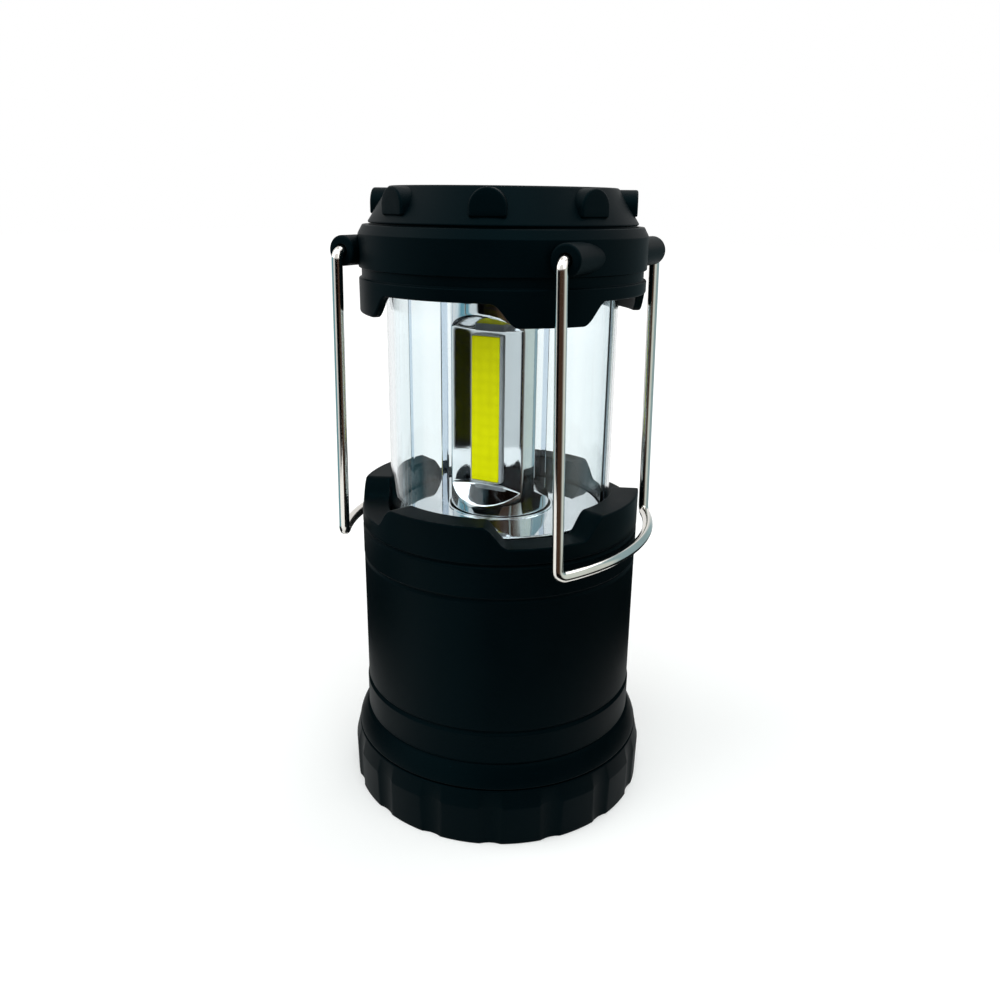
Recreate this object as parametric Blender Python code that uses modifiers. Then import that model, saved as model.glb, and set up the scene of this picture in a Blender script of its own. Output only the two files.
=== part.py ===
"""Pop-up camping lantern: a head with a clear tube and an LED column slides up out of a base.

The lantern stands on the plane z = 0 with its axis on Z. Its front, where the first light strip
faces, is -Y. The two wire handles hang on the +X and -X sides and turn about lines along Y.
Sizes are in metres. The chain of radii runs outwards from the LED column, and the heights run
upwards from the battery cover, so each piece follows the one that it fits.
"""

import math

import bmesh
import bpy
from mathutils import Matrix, Vector

MM = 0.001
DEG = math.pi / 180

# Clearances
SEAT = 0.3 * MM
RUN = 0.4 * MM
STOP_GAP = 0.5 * MM
SEAM = 0.4 * MM
CUT = 1.0 * MM

# LED column and its light strips
COLUMN_RADIUS = 15.0 * MM
COLUMN_BORE = 5.0 * MM
COLUMN_TAIL = 10.6 * MM
FLANGE_MARGIN = 7.0 * MM
FLANGE_THICKNESS = 2.6 * MM
TROUGH_BACK = 8.2 * MM
TROUGH_HALF_ANGLE = 52 * DEG
TROUGH_END_GAP = 1.05 * MM
SCOOP_SLOPE = 0.77
STRIP_COUNT = 3
STRIP_DROP = 2.0 * MM
BOARD_WIDTH = 9.8 * MM
BOARD_LENGTH = 43.6 * MM
BOARD_THICKNESS = 1.1 * MM
PHOSPHOR_WIDTH = 9.0 * MM
PHOSPHOR_LENGTH = 42.6 * MM
PHOSPHOR_THICKNESS = 0.8 * MM
CONTACT_THICKNESS = 0.8 * MM
CONTACT_INSET = 0.5 * MM
DRIVER_SEAT_INSET = 4.0 * MM
DRIVER_SEAT_WIDTH = 2.5 * MM
DRIVER_SEAT_HEIGHT = 1.8 * MM

# Battery cells and their carrier
CELL_RADIUS = 7.0 * MM
CELL_LENGTH = 50.2 * MM
CELL_NUB_RADIUS = 2.6 * MM
CELL_NUB_HEIGHT = 1.2 * MM
CELL_EDGE = 0.8 * MM
CARRIER_INNER_WALL = 0.8 * MM
CARRIER_OUTER_LAND = 0.1 * MM
CARRIER_FLANGE_THICKNESS = 3.3 * MM
CHANNEL_WALL = 2.4 * MM
WINDOW_WIDTH = 9.0 * MM
WINDOW_DEPTH = 12.0 * MM
WINDOW_MARGIN = 3.5 * MM
SPRING_HEIGHT = 6.0 * MM
SPRING_WIRE = 0.8 * MM
SPRING_RADIUS = 4.6 * MM
SPRING_TURNS = 3
PLATE_THICKNESS = 0.5 * MM
PLATE_MARGIN = 1.0 * MM
PLATE_REACH = 13 * DEG
PLATE_TAIL = 6 * DEG
STRIP_WIDTH = 3.2 * MM
RETURN_STRIP_INSET = 3.4 * MM
RETURN_STRIP_STAND = 4.0 * MM
BLADE_NOSE_RISE = 3.5 * MM
BLADE_ARM = 4.0 * MM

# Clear tube
TUBE_WALL = 1.8 * MM
TUBE_RIB_WIDTH = 2.4 * MM
TUBE_RIB_HEIGHT = 0.5 * MM
TUBE_RIB_COUNT = 4
TUBE_RIB_STOP = 1.0 * MM
LIP_WIDTH = 2.1 * MM
LIP_HEIGHT = 3.3 * MM

# Base housing
BASE_HEIGHT = 97.0 * MM
RIM_WIDTH = 7.9 * MM
RIM_DEPTH = 9.4 * MM
RIM_EDGE = 1.2 * MM
RIM_INNER_EDGE = 0.6 * MM
BASE_WALL = 3.0 * MM
VALLEY_DEPTH = 6.0 * MM
VALLEY_HALF_WIDTH = 10.7 * MM
FLANK_WIDTH = 7.2 * MM
CORNER_TURN = 2 * DEG
GROOVE_DEPTH = 0.8 * MM
GROOVE_HEIGHT = 1.4 * MM
RIM_GROOVE_DROP = 11.0 * MM
PANEL_STEP = 0.1 * MM
PANEL_TOP_DROP = 21.0 * MM
PANEL_BOTTOM_Z = 34.7 * MM
BAND_STEP = 0.3 * MM
FLARE_TOP_Z = 24.4 * MM
FLARE_WIDTH = 3.3 * MM
NECK_WALL = 2.2 * MM
NECK_BOTTOM_Z = 5.5 * MM
NECK_RISE = 2.0 * MM
SCREW_RADIUS = 1.1 * MM
SCREW_HEAD_RADIUS = 2.2 * MM
SCREW_HEAD_HEIGHT = 1.3 * MM
SCREW_LENGTH = 8.5 * MM
BOSS_RADIUS = 2.5 * MM
BOSS_HEIGHT = 7.9 * MM
BOSS_HOLE_DEPTH = 6.5 * MM

# Battery cover
COVER_HEIGHT = 17.6 * MM
COVER_FLOOR = 2.4 * MM
COVER_SPREAD = 1.35 * MM
COVER_DRAFT = 0.25 * MM
COVER_RECESS = 0.6 * MM
COVER_EDGE = 0.4 * MM
FOOT_EDGE = 0.4 * MM
FLUTE_COUNT = 16
FLUTE_DEPTH = 0.95 * MM
FLUTE_WIDTH = 8.0 * MM
FLUTE_PHASE = 4.0 * DEG
FLUTE_STOP = 0.5 * MM
COVER_TURN = 30 * DEG
LUG_COUNT = 3
LUG_HALF_ANGLE = 5 * DEG
LUG_HEIGHT = 2.2 * MM
LUG_RISE = 2.0 * MM
LUG_SLACK = 2 * DEG

# Deck of the base
DECK_THICKNESS = 1.8 * MM
DECK_LIP = 1.0 * MM
DECK_LIP_WIDTH = 1.4 * MM
DECK_EDGE = 0.5 * MM

# Head
TRAVEL = 57.5 * MM
COLLAR_STEP_IN = 1.4 * MM
COLLAR_HEIGHT = 17.6 * MM
COLLAR_WALL = 2.4 * MM
COLLAR_THICKENING = 0.8 * MM
COLLAR_CHAMFER = 1.3 * MM
COLLAR_CHAMFER_HEIGHT = 2.4 * MM
BAND_HEIGHT = 3.4 * MM
BAND_GROOVE = 2.9 * MM
TAB_CLEARANCE = 2.0 * MM
SOCKET_RISE = 1.5 * MM
SOCKET_DEPTH = 3.8 * MM
SNAP_RISE = 2.5 * MM
SNAP_HALF_HEIGHT = 1.0 * MM
SNAP_DEPTH = 0.6 * MM
WEB_THICKNESS = 2.0 * MM
CAP_HEIGHT = 9.7 * MM
CAP_BASE_INSET = 2.6 * MM
CAP_TOP_INSET = 6.3 * MM
CAP_WALL = 2.2 * MM
CAP_RECESS = 0.8 * MM
CAP_RECESS_MARGIN = 2.7 * MM
CAP_EDGE = 0.9 * MM
BUMP_COUNT = 8
BUMP_WIDTH = 9.5 * MM
BUMP_HEIGHT = 7.0 * MM
BUMP_REACH = 1.0 * MM
BUMP_DROP = 0.4 * MM
BUMP_ROOT = 1.2 * MM
REFLECTOR_THICKNESS = 1.2 * MM
REFLECTOR_RISE = 1.2 * MM
REFLECTOR_REST = 1.3 * MM
DRIVER_RADIUS = 13.5 * MM
DRIVER_THICKNESS = 1.6 * MM
POST_RADIUS = 2.6 * MM

# Ears and wire handles
EAR_X = 33.6 * MM
EAR_END_Y = 30.6 * MM
EAR_RISE = 10.7 * MM
EAR_RADIUS = 4.1 * MM
EAR_HOLE_DEPTH = 6.0 * MM
WIRE_RADIUS = 1.55 * MM
WIRE_BEND = 2.4 * MM
HANDLE_CLEARANCE = 0.9 * MM
HANDLE_LEAN = 1.2 * DEG

# Facets
RING_STEPS = 36
COVER_STEPS = 48
FLUTE_STEPS = 40
INNER_STEPS = 30
SMALL_STEPS = 18
SCREW_STEPS = 9

# Radii worked outwards from the column
BORE_RADIUS = COLUMN_RADIUS + 1.5 * RUN
POCKET_RADIUS = CELL_RADIUS + SEAT
CELL_RING = BORE_RADIUS + CARRIER_INNER_WALL + POCKET_RADIUS
CARRIER_RADIUS = CELL_RING + POCKET_RADIUS + CARRIER_OUTER_LAND
TUBE_INNER = CARRIER_RADIUS + RUN
TUBE_RADIUS = TUBE_INNER + TUBE_WALL
RIM_INNER = TUBE_RADIUS + TUBE_RIB_HEIGHT + RUN
LIP_RADIUS = TUBE_RADIUS + LIP_WIDTH
BASE_RADIUS = RIM_INNER + RIM_WIDTH
PANEL_RADIUS = BASE_RADIUS - PANEL_STEP
BAND_RADIUS = PANEL_RADIUS + BAND_STEP
BASE_INNER = BASE_RADIUS - BASE_WALL
FLARE_RADIUS = BASE_RADIUS + FLARE_WIDTH
NECK_RADIUS = BASE_INNER + BASE_WALL / 2
NECK_INNER = NECK_RADIUS - NECK_WALL
COVER_INNER = NECK_RADIUS + 2.5 * RUN
COVER_RADIUS = FLARE_RADIUS + COVER_SPREAD
COLLAR_RADIUS = BASE_RADIUS - COLLAR_STEP_IN
COLLAR_INNER = COLLAR_RADIUS - COLLAR_WALL
COLLAR_BORE = COLLAR_INNER - COLLAR_THICKENING
CAP_RADIUS = COLLAR_RADIUS - CAP_BASE_INSET
CAP_TOP_RADIUS = CAP_RADIUS - CAP_TOP_INSET
FLANGE_RADIUS = COLUMN_RADIUS + FLANGE_MARGIN
SCREW_HOLE = SCREW_RADIUS + SEAT
POST_RING = COLUMN_RADIUS + FLANGE_MARGIN / 2
SCREW_RING = NECK_INNER - SEAT - SCREW_HEAD_RADIUS

# Heights worked upwards from the battery cover
COVER_PLATE_Z = COVER_FLOOR + SEAT
COVER_SPRING_Z = COVER_PLATE_Z + PLATE_THICKNESS + SEAT
LOW_CELL_Z = COVER_SPRING_Z
HIGH_CELL_Z = COVER_SPRING_Z + SPRING_HEIGHT + SEAT
CARRIER_BOTTOM_Z = HIGH_CELL_Z + 2 * SEAT
CHANNEL_Z = HIGH_CELL_Z + CELL_LENGTH
TOP_PLATE_Z = CHANNEL_Z + SEAT
SHOULDER_Z = COVER_HEIGHT + SEAM
CARRIER_FLANGE_Z = SHOULDER_Z - CARRIER_FLANGE_THICKNESS
BOSS_Z = SHOULDER_Z + SEAT
LUG_Z = NECK_BOTTOM_Z + LUG_RISE
VALLEY_Z = BASE_HEIGHT - VALLEY_DEPTH
GUIDE_Z = BASE_HEIGHT - RIM_DEPTH
TUBE_BOTTOM_Z = GUIDE_Z - SEAT - LIP_HEIGHT
DECK_TOP_Z = VALLEY_Z - RUN
DECK_BOTTOM_Z = DECK_TOP_Z - DECK_THICKNESS
CARRIER_TOP_Z = DECK_BOTTOM_Z - SEAT
BAND_Z = BASE_HEIGHT + STOP_GAP + TRAVEL
TAB_Z = BAND_Z - VALLEY_DEPTH
SOCKET_Z = BAND_Z + SOCKET_RISE
WEB_Z = SOCKET_Z + SOCKET_DEPTH
WEB_TOP_Z = WEB_Z + WEB_THICKNESS
TUBE_TOP_Z = WEB_Z - SEAT
COLLAR_TOP_Z = BAND_Z + COLLAR_HEIGHT
CAP_BOTTOM_Z = COLLAR_TOP_Z + SEAM
CAP_TOP_Z = CAP_BOTTOM_Z + CAP_HEIGHT
CAP_UNDERSIDE_Z = CAP_TOP_Z - CAP_RECESS - CAP_WALL
REFLECTOR_RIM_Z = WEB_TOP_Z + SEAT
REFLECTOR_FLAT_Z = BAND_Z + REFLECTOR_RISE
FLANGE_Z = REFLECTOR_FLAT_Z + REFLECTOR_THICKNESS + SEAT
FLANGE_TOP_Z = FLANGE_Z + FLANGE_THICKNESS
SKIRT_Z = REFLECTOR_RIM_Z + REFLECTOR_THICKNESS + SEAT
SNAP_Z = SKIRT_Z + SNAP_RISE
COLUMN_BOTTOM_Z = DECK_TOP_Z - COLUMN_TAIL
STRIP_MID_Z = (DECK_TOP_Z + REFLECTOR_FLAT_Z) / 2 - STRIP_DROP
EAR_Z = BAND_Z + EAR_RISE
HANDLE_DROP = EAR_Z - TRAVEL - FLARE_TOP_Z - WIRE_RADIUS - HANDLE_CLEARANCE

# Places round the axis
CELL_ANGLES = [30 * DEG, 150 * DEG, 270 * DEG]
BETWEEN_ANGLES = [90 * DEG, 210 * DEG, 330 * DEG]
STRIP_ANGLES = [(-90 + 120 * k) * DEG for k in range(STRIP_COUNT)]
CORNER_ANGLES = [CORNER_TURN + (45 + 90 * k) * DEG for k in range(4)]
RIB_ANGLES = [CORNER_TURN + 2 * math.pi * k / TUBE_RIB_COUNT for k in range(TUBE_RIB_COUNT)]
CONTACT_ANGLES = [BETWEEN_ANGLES[0], BETWEEN_ANGLES[2]]
RETURN_STRIP_RING = CELL_RING - RETURN_STRIP_INSET


def clear_scene():
    """Empty the scene and add the collections for the pieces and their cutters."""
    for item in list(bpy.data.objects):
        bpy.data.objects.remove(item, do_unlink=True)
    found = {}
    for name in ("camping_lantern", "cutters"):
        found[name] = bpy.data.collections.new(name)
        bpy.context.scene.collection.children.link(found[name])
    return found["camping_lantern"], found["cutters"]


PIECES, CUTTERS = clear_scene()


def finish(name, colour, roughness, metallic=0.0, transmission=0.0, ior=1.5):
    """Principled material of one finish."""
    made = bpy.data.materials.new(name)
    made.use_nodes = True
    shader = made.node_tree.nodes["Principled BSDF"]
    shader.inputs["Base Color"].default_value = (*colour, 1.0)
    shader.inputs["Roughness"].default_value = roughness
    shader.inputs["Metallic"].default_value = metallic
    shader.inputs["Transmission Weight"].default_value = transmission
    shader.inputs["IOR"].default_value = ior
    return made


BLACK_ABS = finish("black_abs", (0.010, 0.011, 0.012), 0.42)
CHROME = finish("chromed_abs", (0.86, 0.87, 0.88), 0.06, metallic=1.0)
CLEAR_PC = finish("clear_polycarbonate", (0.93, 0.96, 0.97), 0.03, transmission=1.0, ior=1.58)
PHOSPHOR = finish("phosphor_silicone", (0.62, 0.63, 0.01), 0.5)
BOARD_WHITE = finish("aluminium_board", (0.78, 0.79, 0.80), 0.35, metallic=0.4)
STEEL_WIRE = finish("plated_steel_wire", (0.72, 0.71, 0.69), 0.16, metallic=1.0)
NICKEL = finish("nickel_strip", (0.66, 0.63, 0.57), 0.3, metallic=1.0)
SCREW_STEEL = finish("screw_steel", (0.45, 0.45, 0.46), 0.35, metallic=1.0)
CELL_JACKET = finish("cell_jacket", (0.24, 0.28, 0.30), 0.4)
GREY_ABS = finish("grey_abs", (0.09, 0.09, 0.10), 0.5)
LAMINATE = finish("glass_laminate", (0.02, 0.20, 0.07), 0.45)


def place(name, data, material=None):
    """Object of a mesh or curve: a piece where it has a material, otherwise a cutter."""
    item = bpy.data.objects.new(name, data)
    if material:
        item.data.materials.append(material)
        PIECES.objects.link(item)
    else:
        item.hide_render = True
        item.display_type = "WIRE"
        CUTTERS.objects.link(item)
    return item


def rounded(corners, closed=True, steps=3):
    """Points through (x, y, ..., radius) corners, with an arc of that radius at each corner."""
    points = []
    last = len(corners) - 1
    for index, (*spot, radius) in enumerate(corners):
        here = Vector(spot)
        if radius == 0 or (not closed and index in (0, last)):
            points.append(here)
            continue
        before = (Vector(corners[index - 1][:-1]) - here).normalized()
        after = (Vector(corners[(index + 1) % len(corners)][:-1]) - here).normalized()
        half = before.angle(after) / 2
        centre = here + (before + after).normalized() * radius / math.sin(half)
        start = here + before * radius / math.tan(half) - centre
        end = here + after * radius / math.tan(half) - centre
        for step in range(steps + 1):
            spoke = start.lerp(end, step / steps).normalized() * radius
            points.append(centre + spoke)
    return points


def turned(name, profile, material=None, steps=RING_STEPS, closed=True):
    """Profile of (radius, height) points, outer side downwards, turned about the axis."""
    points = [(spot[0], 0.0, spot[1]) for spot in profile]
    edges = [(k, k + 1) for k in range(len(points) - 1)]
    if closed:
        edges.append((len(points) - 1, 0))
    mesh = bpy.data.meshes.new(name)
    mesh.from_pydata(points, edges, [])
    item = place(name, mesh, material)
    screw = item.modifiers.new("turn", "SCREW")
    screw.steps = steps
    screw.render_steps = steps
    screw.use_merge_vertices = True
    screw.merge_threshold = 0.00001
    return item


def as_mesh(name, curve, material=None, matrix=None):
    """Closed mesh object of a curve, its caps welded."""
    source = bpy.data.objects.new(name, curve)
    bpy.context.scene.collection.objects.link(source)
    seen = source.evaluated_get(bpy.context.evaluated_depsgraph_get())
    mesh = bpy.data.meshes.new_from_object(seen)
    bpy.data.objects.remove(source)
    bm = bmesh.new()
    bm.from_mesh(mesh)
    bmesh.ops.remove_doubles(bm, verts=bm.verts, dist=0.000001)
    bmesh.ops.recalc_face_normals(bm, faces=bm.faces)
    if matrix:
        bm.transform(matrix)
    bm.to_mesh(mesh)
    bm.free()
    mesh.materials.clear()
    return place(name, mesh, material)


def flat(name, outlines, low, high, material=None, frame=None):
    """Closed outlines in a plane, extruded from low to high along its normal."""
    curve = bpy.data.curves.new(name, "CURVE")
    curve.dimensions = "2D"
    curve.fill_mode = "BOTH"
    curve.extrude = (high - low) / 2
    for outline in outlines:
        spline = curve.splines.new("POLY")
        spline.points.add(len(outline) - 1)
        for point, spot in zip(spline.points, outline):
            point.co = (spot[0], spot[1], 0.0, 1.0)
        spline.use_cyclic_u = True
    lift = Matrix.Translation((0, 0, (low + high) / 2))
    return as_mesh(name, curve, material, (frame or Matrix()) @ lift)


def radial_frame(angle):
    """Frame whose X runs round the axis, Y up, and Z outwards at an angle."""
    return Matrix.Rotation(angle, 4, "Z") @ Matrix(
        ((0, 0, 1, 0), (1, 0, 0, 0), (0, 1, 0, 0), (0, 0, 0, 1))
    )


def sector(inner, outer, start, end, steps=6):
    """Outline of a ring sector between two angles."""
    outline = []
    for radius, first, last in ((outer, start, end), (inner, end, start)):
        for step in range(steps + 1):
            angle = first + (last - first) * step / steps
            outline.append((radius * math.cos(angle), radius * math.sin(angle)))
    return outline


def circle(x, y, radius, steps=SMALL_STEPS):
    """Outline of a circle."""
    turn = 2 * math.pi / steps
    return [(x + radius * math.cos(k * turn), y + radius * math.sin(k * turn)) for k in range(steps)]


def rectangle(x, y, width, height):
    """Outline of a rectangle about a centre."""
    signs = ((-1, -1), (1, -1), (1, 1), (-1, 1))
    return [(x + sx * width / 2, y + sy * height / 2) for sx, sy in signs]


def polar(radius, angle):
    """Point in the plane at a radius and an angle."""
    return radius * math.cos(angle), radius * math.sin(angle)


def flank(start, low, end, high, steps=6):
    """S-shaped side of a tab or valley: half a cosine wave from one corner to the other."""
    points = []
    for step in range(steps + 1):
        share = step / steps
        rise = (1 - math.cos(math.pi * share)) / 2
        points.append((start + (end - start) * share, low + (high - low) * rise))
    return points


def combine(item, tool, operation="DIFFERENCE"):
    """Boolean of a piece with a cutter."""
    step = item.modifiers.new(tool.name, "BOOLEAN")
    step.operation = operation
    step.solver = "EXACT"
    step.object = tool


def bodies(name, makers):
    """One cutter of several closed shapes that stay apart."""
    bm = bmesh.new()
    for add_shape in makers:
        add_shape(bm)
    mesh = bpy.data.meshes.new(name)
    bm.to_mesh(mesh)
    bm.free()
    return place(name, mesh)


def rod(bm, spot, radius, low, high, steps=SMALL_STEPS, axis="Z"):
    """Round bar along Z or Y, centred on a spot of the plane across it."""
    middle = (low + high) / 2
    if axis == "Z":
        frame = Matrix.Translation((spot[0], spot[1], middle))
    else:
        frame = Matrix.Translation((spot[0], middle, spot[1])) @ Matrix.Rotation(90 * DEG, 4, "X")
    bmesh.ops.create_cone(
        bm, cap_ends=True, segments=steps, radius1=radius, radius2=radius,
        depth=high - low, matrix=frame,
    )


def rods(name, spots, radius, low, high, steps=SMALL_STEPS, axis="Z"):
    """Cutter of like round bars."""
    makers = [
        lambda bm, spot=spot: rod(bm, spot, radius, low, high, steps, axis) for spot in spots
    ]
    return bodies(name, makers)


def wire(name, points, radius, material, resolution=2, origin=(0, 0, 0)):
    """Round wire along points given from its origin."""
    curve = bpy.data.curves.new(name, "CURVE")
    curve.dimensions = "3D"
    curve.bevel_depth = radius
    curve.bevel_resolution = resolution
    curve.use_fill_caps = True
    spline = curve.splines.new("POLY")
    spline.points.add(len(points) - 1)
    for point, spot in zip(spline.points, points):
        point.co = (*spot, 1.0)
    item = place(name, curve, material)
    item.location = origin
    return item


def screw(name, spot, seat_z, length):
    """Pan-head screw driven upwards, its head under the seat."""
    profile = [
        (0, length),
        (SCREW_RADIUS * 0.5, length),
        (SCREW_RADIUS, length - SCREW_RADIUS),
        (SCREW_RADIUS, 0),
        (SCREW_HEAD_RADIUS, 0),
        (SCREW_HEAD_RADIUS, -SCREW_HEAD_HEIGHT * 0.5),
        (SCREW_HEAD_RADIUS * 0.7, -SCREW_HEAD_HEIGHT),
        (0, -SCREW_HEAD_HEIGHT),
    ]
    item = turned(name, profile, SCREW_STEEL, SCREW_STEPS, closed=False)
    item.location = (*spot, seat_z)
    return item


def spring(name, angle, low, point_up=True):
    """Cone spring under or over a cell: a helix whose radius shrinks towards the cell."""
    steps = 8 * SPRING_TURNS
    climb = SPRING_HEIGHT - SPRING_WIRE
    points = []
    for step in range(steps + 1):
        share = step / steps
        turn = 2 * math.pi * SPRING_TURNS * share
        radius = SPRING_RADIUS - SPRING_WIRE * 1.6 * share * SPRING_TURNS / 2
        height = climb * (share if point_up else 1 - share)
        points.append((*polar(radius, turn), height))
    origin = (*polar(CELL_RING, angle), low + SPRING_WIRE / 2)
    return wire(name, points, SPRING_WIRE / 2, NICKEL, 0, origin)


def make_base_housing():
    """Shell with grooves, flare, neck, castellated rim and three screw bosses."""
    rim_groove_z = BASE_HEIGHT - RIM_GROOVE_DROP
    panel_top_z = BASE_HEIGHT - PANEL_TOP_DROP
    half_groove = GROOVE_HEIGHT / 2
    bevel = GROOVE_DEPTH * 0.6
    flare = []
    arc = 72 * DEG
    for step in range(1, 5):
        share = step / 4
        spread = math.sin(arc * share) / math.sin(arc)
        radius = BAND_RADIUS + (FLARE_RADIUS - BAND_RADIUS) * spread
        flare.append((radius, FLARE_TOP_Z + (SHOULDER_Z - FLARE_TOP_Z) * share, 0))
    corners = [
        (BASE_RADIUS, BASE_HEIGHT, RIM_EDGE),
        (BASE_RADIUS, rim_groove_z + half_groove, 0),
        (BASE_RADIUS - GROOVE_DEPTH, rim_groove_z, 0),
        (BASE_RADIUS, rim_groove_z - half_groove, 0),
        (BASE_RADIUS, panel_top_z + half_groove, 0),
        (PANEL_RADIUS - bevel, panel_top_z, 0),
        (PANEL_RADIUS, panel_top_z - half_groove, 0),
        (PANEL_RADIUS, PANEL_BOTTOM_Z + half_groove, 0),
        (PANEL_RADIUS - bevel, PANEL_BOTTOM_Z, 0),
        (BAND_RADIUS, PANEL_BOTTOM_Z - half_groove, 0),
        (BAND_RADIUS, FLARE_TOP_Z + bevel, 0),
        (BAND_RADIUS - bevel, FLARE_TOP_Z, 0),
        *flare,
        (NECK_RADIUS, SHOULDER_Z, 0),
        (NECK_RADIUS, NECK_BOTTOM_Z, 0),
        (NECK_INNER, NECK_BOTTOM_Z, 0),
        (NECK_INNER, SHOULDER_Z + NECK_RISE, 0),
        (BASE_INNER, SHOULDER_Z + 1.5 * NECK_RISE, 0),
        (BASE_INNER, GUIDE_Z, 0),
        (RIM_INNER, GUIDE_Z, 0),
        (RIM_INNER, BASE_HEIGHT, RIM_INNER_EDGE),
    ]
    housing = turned("base_housing", rounded(corners, steps=2), BLACK_ABS)
    top = BASE_HEIGHT + RUN / 2
    right = flank(VALLEY_HALF_WIDTH, VALLEY_Z, VALLEY_HALF_WIDTH + FLANK_WIDTH, top)
    side = [*right, (right[-1][0], top + CUT)]
    outline = [*side, *((-x, z) for x, z in reversed(side))]
    for index, angle in enumerate(CORNER_ANGLES):
        inner, outer = RIM_INNER / 2, BASE_RADIUS + CUT
        tool = flat(f"valley_{index}", [outline], inner, outer, None, radial_frame(angle))
        combine(housing, tool)
    boss_round = [
        (SCREW_RING + BOSS_RADIUS * math.cos(a), BOSS_RADIUS * math.sin(a))
        for a in [(90 + 22.5 * k) * DEG for k in range(9)]
    ]
    boss_end = BASE_INNER + BASE_WALL / 2
    boss = [*boss_round, (boss_end, -BOSS_RADIUS), (boss_end, BOSS_RADIUS)]
    for index, angle in enumerate(BETWEEN_ANGLES):
        turn = Matrix.Rotation(angle, 4, "Z")
        tool = flat(f"boss_{index}", [boss], BOSS_Z, BOSS_Z + BOSS_HEIGHT, None, turn)
        combine(housing, tool, "UNION")
    spots = [polar(SCREW_RING, angle) for angle in BETWEEN_ANGLES]
    hole_top = BOSS_Z + BOSS_HOLE_DEPTH
    combine(housing, rods("boss_holes", spots, SCREW_HOLE, BOSS_Z - CUT, hole_top, SCREW_STEPS))
    slot_inner, slot_outer = NECK_INNER - CUT, NECK_RADIUS + CUT
    room = LUG_HALF_ANGLE + LUG_SLACK
    for index in range(LUG_COUNT):
        middle = index * 2 * math.pi / LUG_COUNT
        open_end = middle - COVER_TURN - room
        run = sector(slot_inner, slot_outer, open_end, middle + room)
        way = sector(slot_inner, slot_outer, open_end, open_end + 2 * room)
        slot = flat(f"slot_{index}", [run], LUG_Z - RUN, LUG_Z + LUG_HEIGHT + RUN)
        entry = flat(f"slot_entry_{index}", [way], NECK_BOTTOM_Z - CUT, LUG_Z)
        combine(housing, slot)
        combine(housing, entry)


def make_carrier():
    """Annular carrier with three open cell cradles, a screw flange and a contact channel."""
    corners = [
        (CARRIER_RADIUS, CARRIER_TOP_Z),
        (CARRIER_RADIUS, SHOULDER_Z),
        (NECK_INNER - SEAT, SHOULDER_Z),
        (NECK_INNER - SEAT, CARRIER_FLANGE_Z),
        (CARRIER_RADIUS, CARRIER_FLANGE_Z),
        (CARRIER_RADIUS, CARRIER_BOTTOM_Z),
        (BORE_RADIUS, CARRIER_BOTTOM_Z),
        (BORE_RADIUS, CARRIER_TOP_Z),
        (BORE_RADIUS + CHANNEL_WALL, CARRIER_TOP_Z),
        (BORE_RADIUS + CHANNEL_WALL, CHANNEL_Z),
        (CARRIER_RADIUS - CHANNEL_WALL, CHANNEL_Z),
        (CARRIER_RADIUS - CHANNEL_WALL, CARRIER_TOP_Z),
    ]
    carrier = turned("battery_carrier", corners, GREY_ABS, INNER_STEPS)
    cells = [polar(CELL_RING, angle) for angle in CELL_ANGLES]
    pockets = rods("cell_pockets", cells, POCKET_RADIUS, CARRIER_BOTTOM_Z - CUT, CHANNEL_Z + CUT)
    combine(carrier, pockets)
    window = rectangle(0, 0, WINDOW_WIDTH, WINDOW_DEPTH)
    window_low, window_high = SHOULDER_Z + WINDOW_MARGIN, CHANNEL_Z - WINDOW_MARGIN
    for index, angle in enumerate(CELL_ANGLES):
        frame = Matrix.Rotation(angle, 4, "Z") @ Matrix.Translation((CELL_RING + POCKET_RADIUS, 0, 0))
        turn = frame @ Matrix.Rotation(90 * DEG, 4, "Z")
        tool = flat(f"window_{index}", [window], window_low, window_high, None, turn)
        combine(carrier, tool)
    spots = [polar(SCREW_RING, angle) for angle in BETWEEN_ANGLES]
    flange_low, flange_high = CARRIER_FLANGE_Z - CUT, SHOULDER_Z + CUT
    combine(carrier, rods("flange_holes", spots, SCREW_HOLE, flange_low, flange_high, SCREW_STEPS))
    for index, spot in enumerate(spots, 1):
        screw(f"carrier_screw_{index}", spot, CARRIER_FLANGE_Z - SEAT, SCREW_LENGTH)
    strip_turn = Matrix.Rotation(BETWEEN_ANGLES[1], 4, "Z")
    strip = rectangle(RETURN_STRIP_RING, 0, PLATE_THICKNESS, STRIP_WIDTH)
    slot = rectangle(RETURN_STRIP_RING, 0, PLATE_THICKNESS + 2 * SEAT, STRIP_WIDTH + 2 * SEAT)
    tool = flat("strip_slot", [slot], CARRIER_BOTTOM_Z - CUT, CHANNEL_Z + CUT, None, strip_turn)
    combine(carrier, tool)
    flat("return_strip", [strip], COVER_SPRING_Z, CHANNEL_Z + RETURN_STRIP_STAND, NICKEL, strip_turn)
    return carrier


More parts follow.
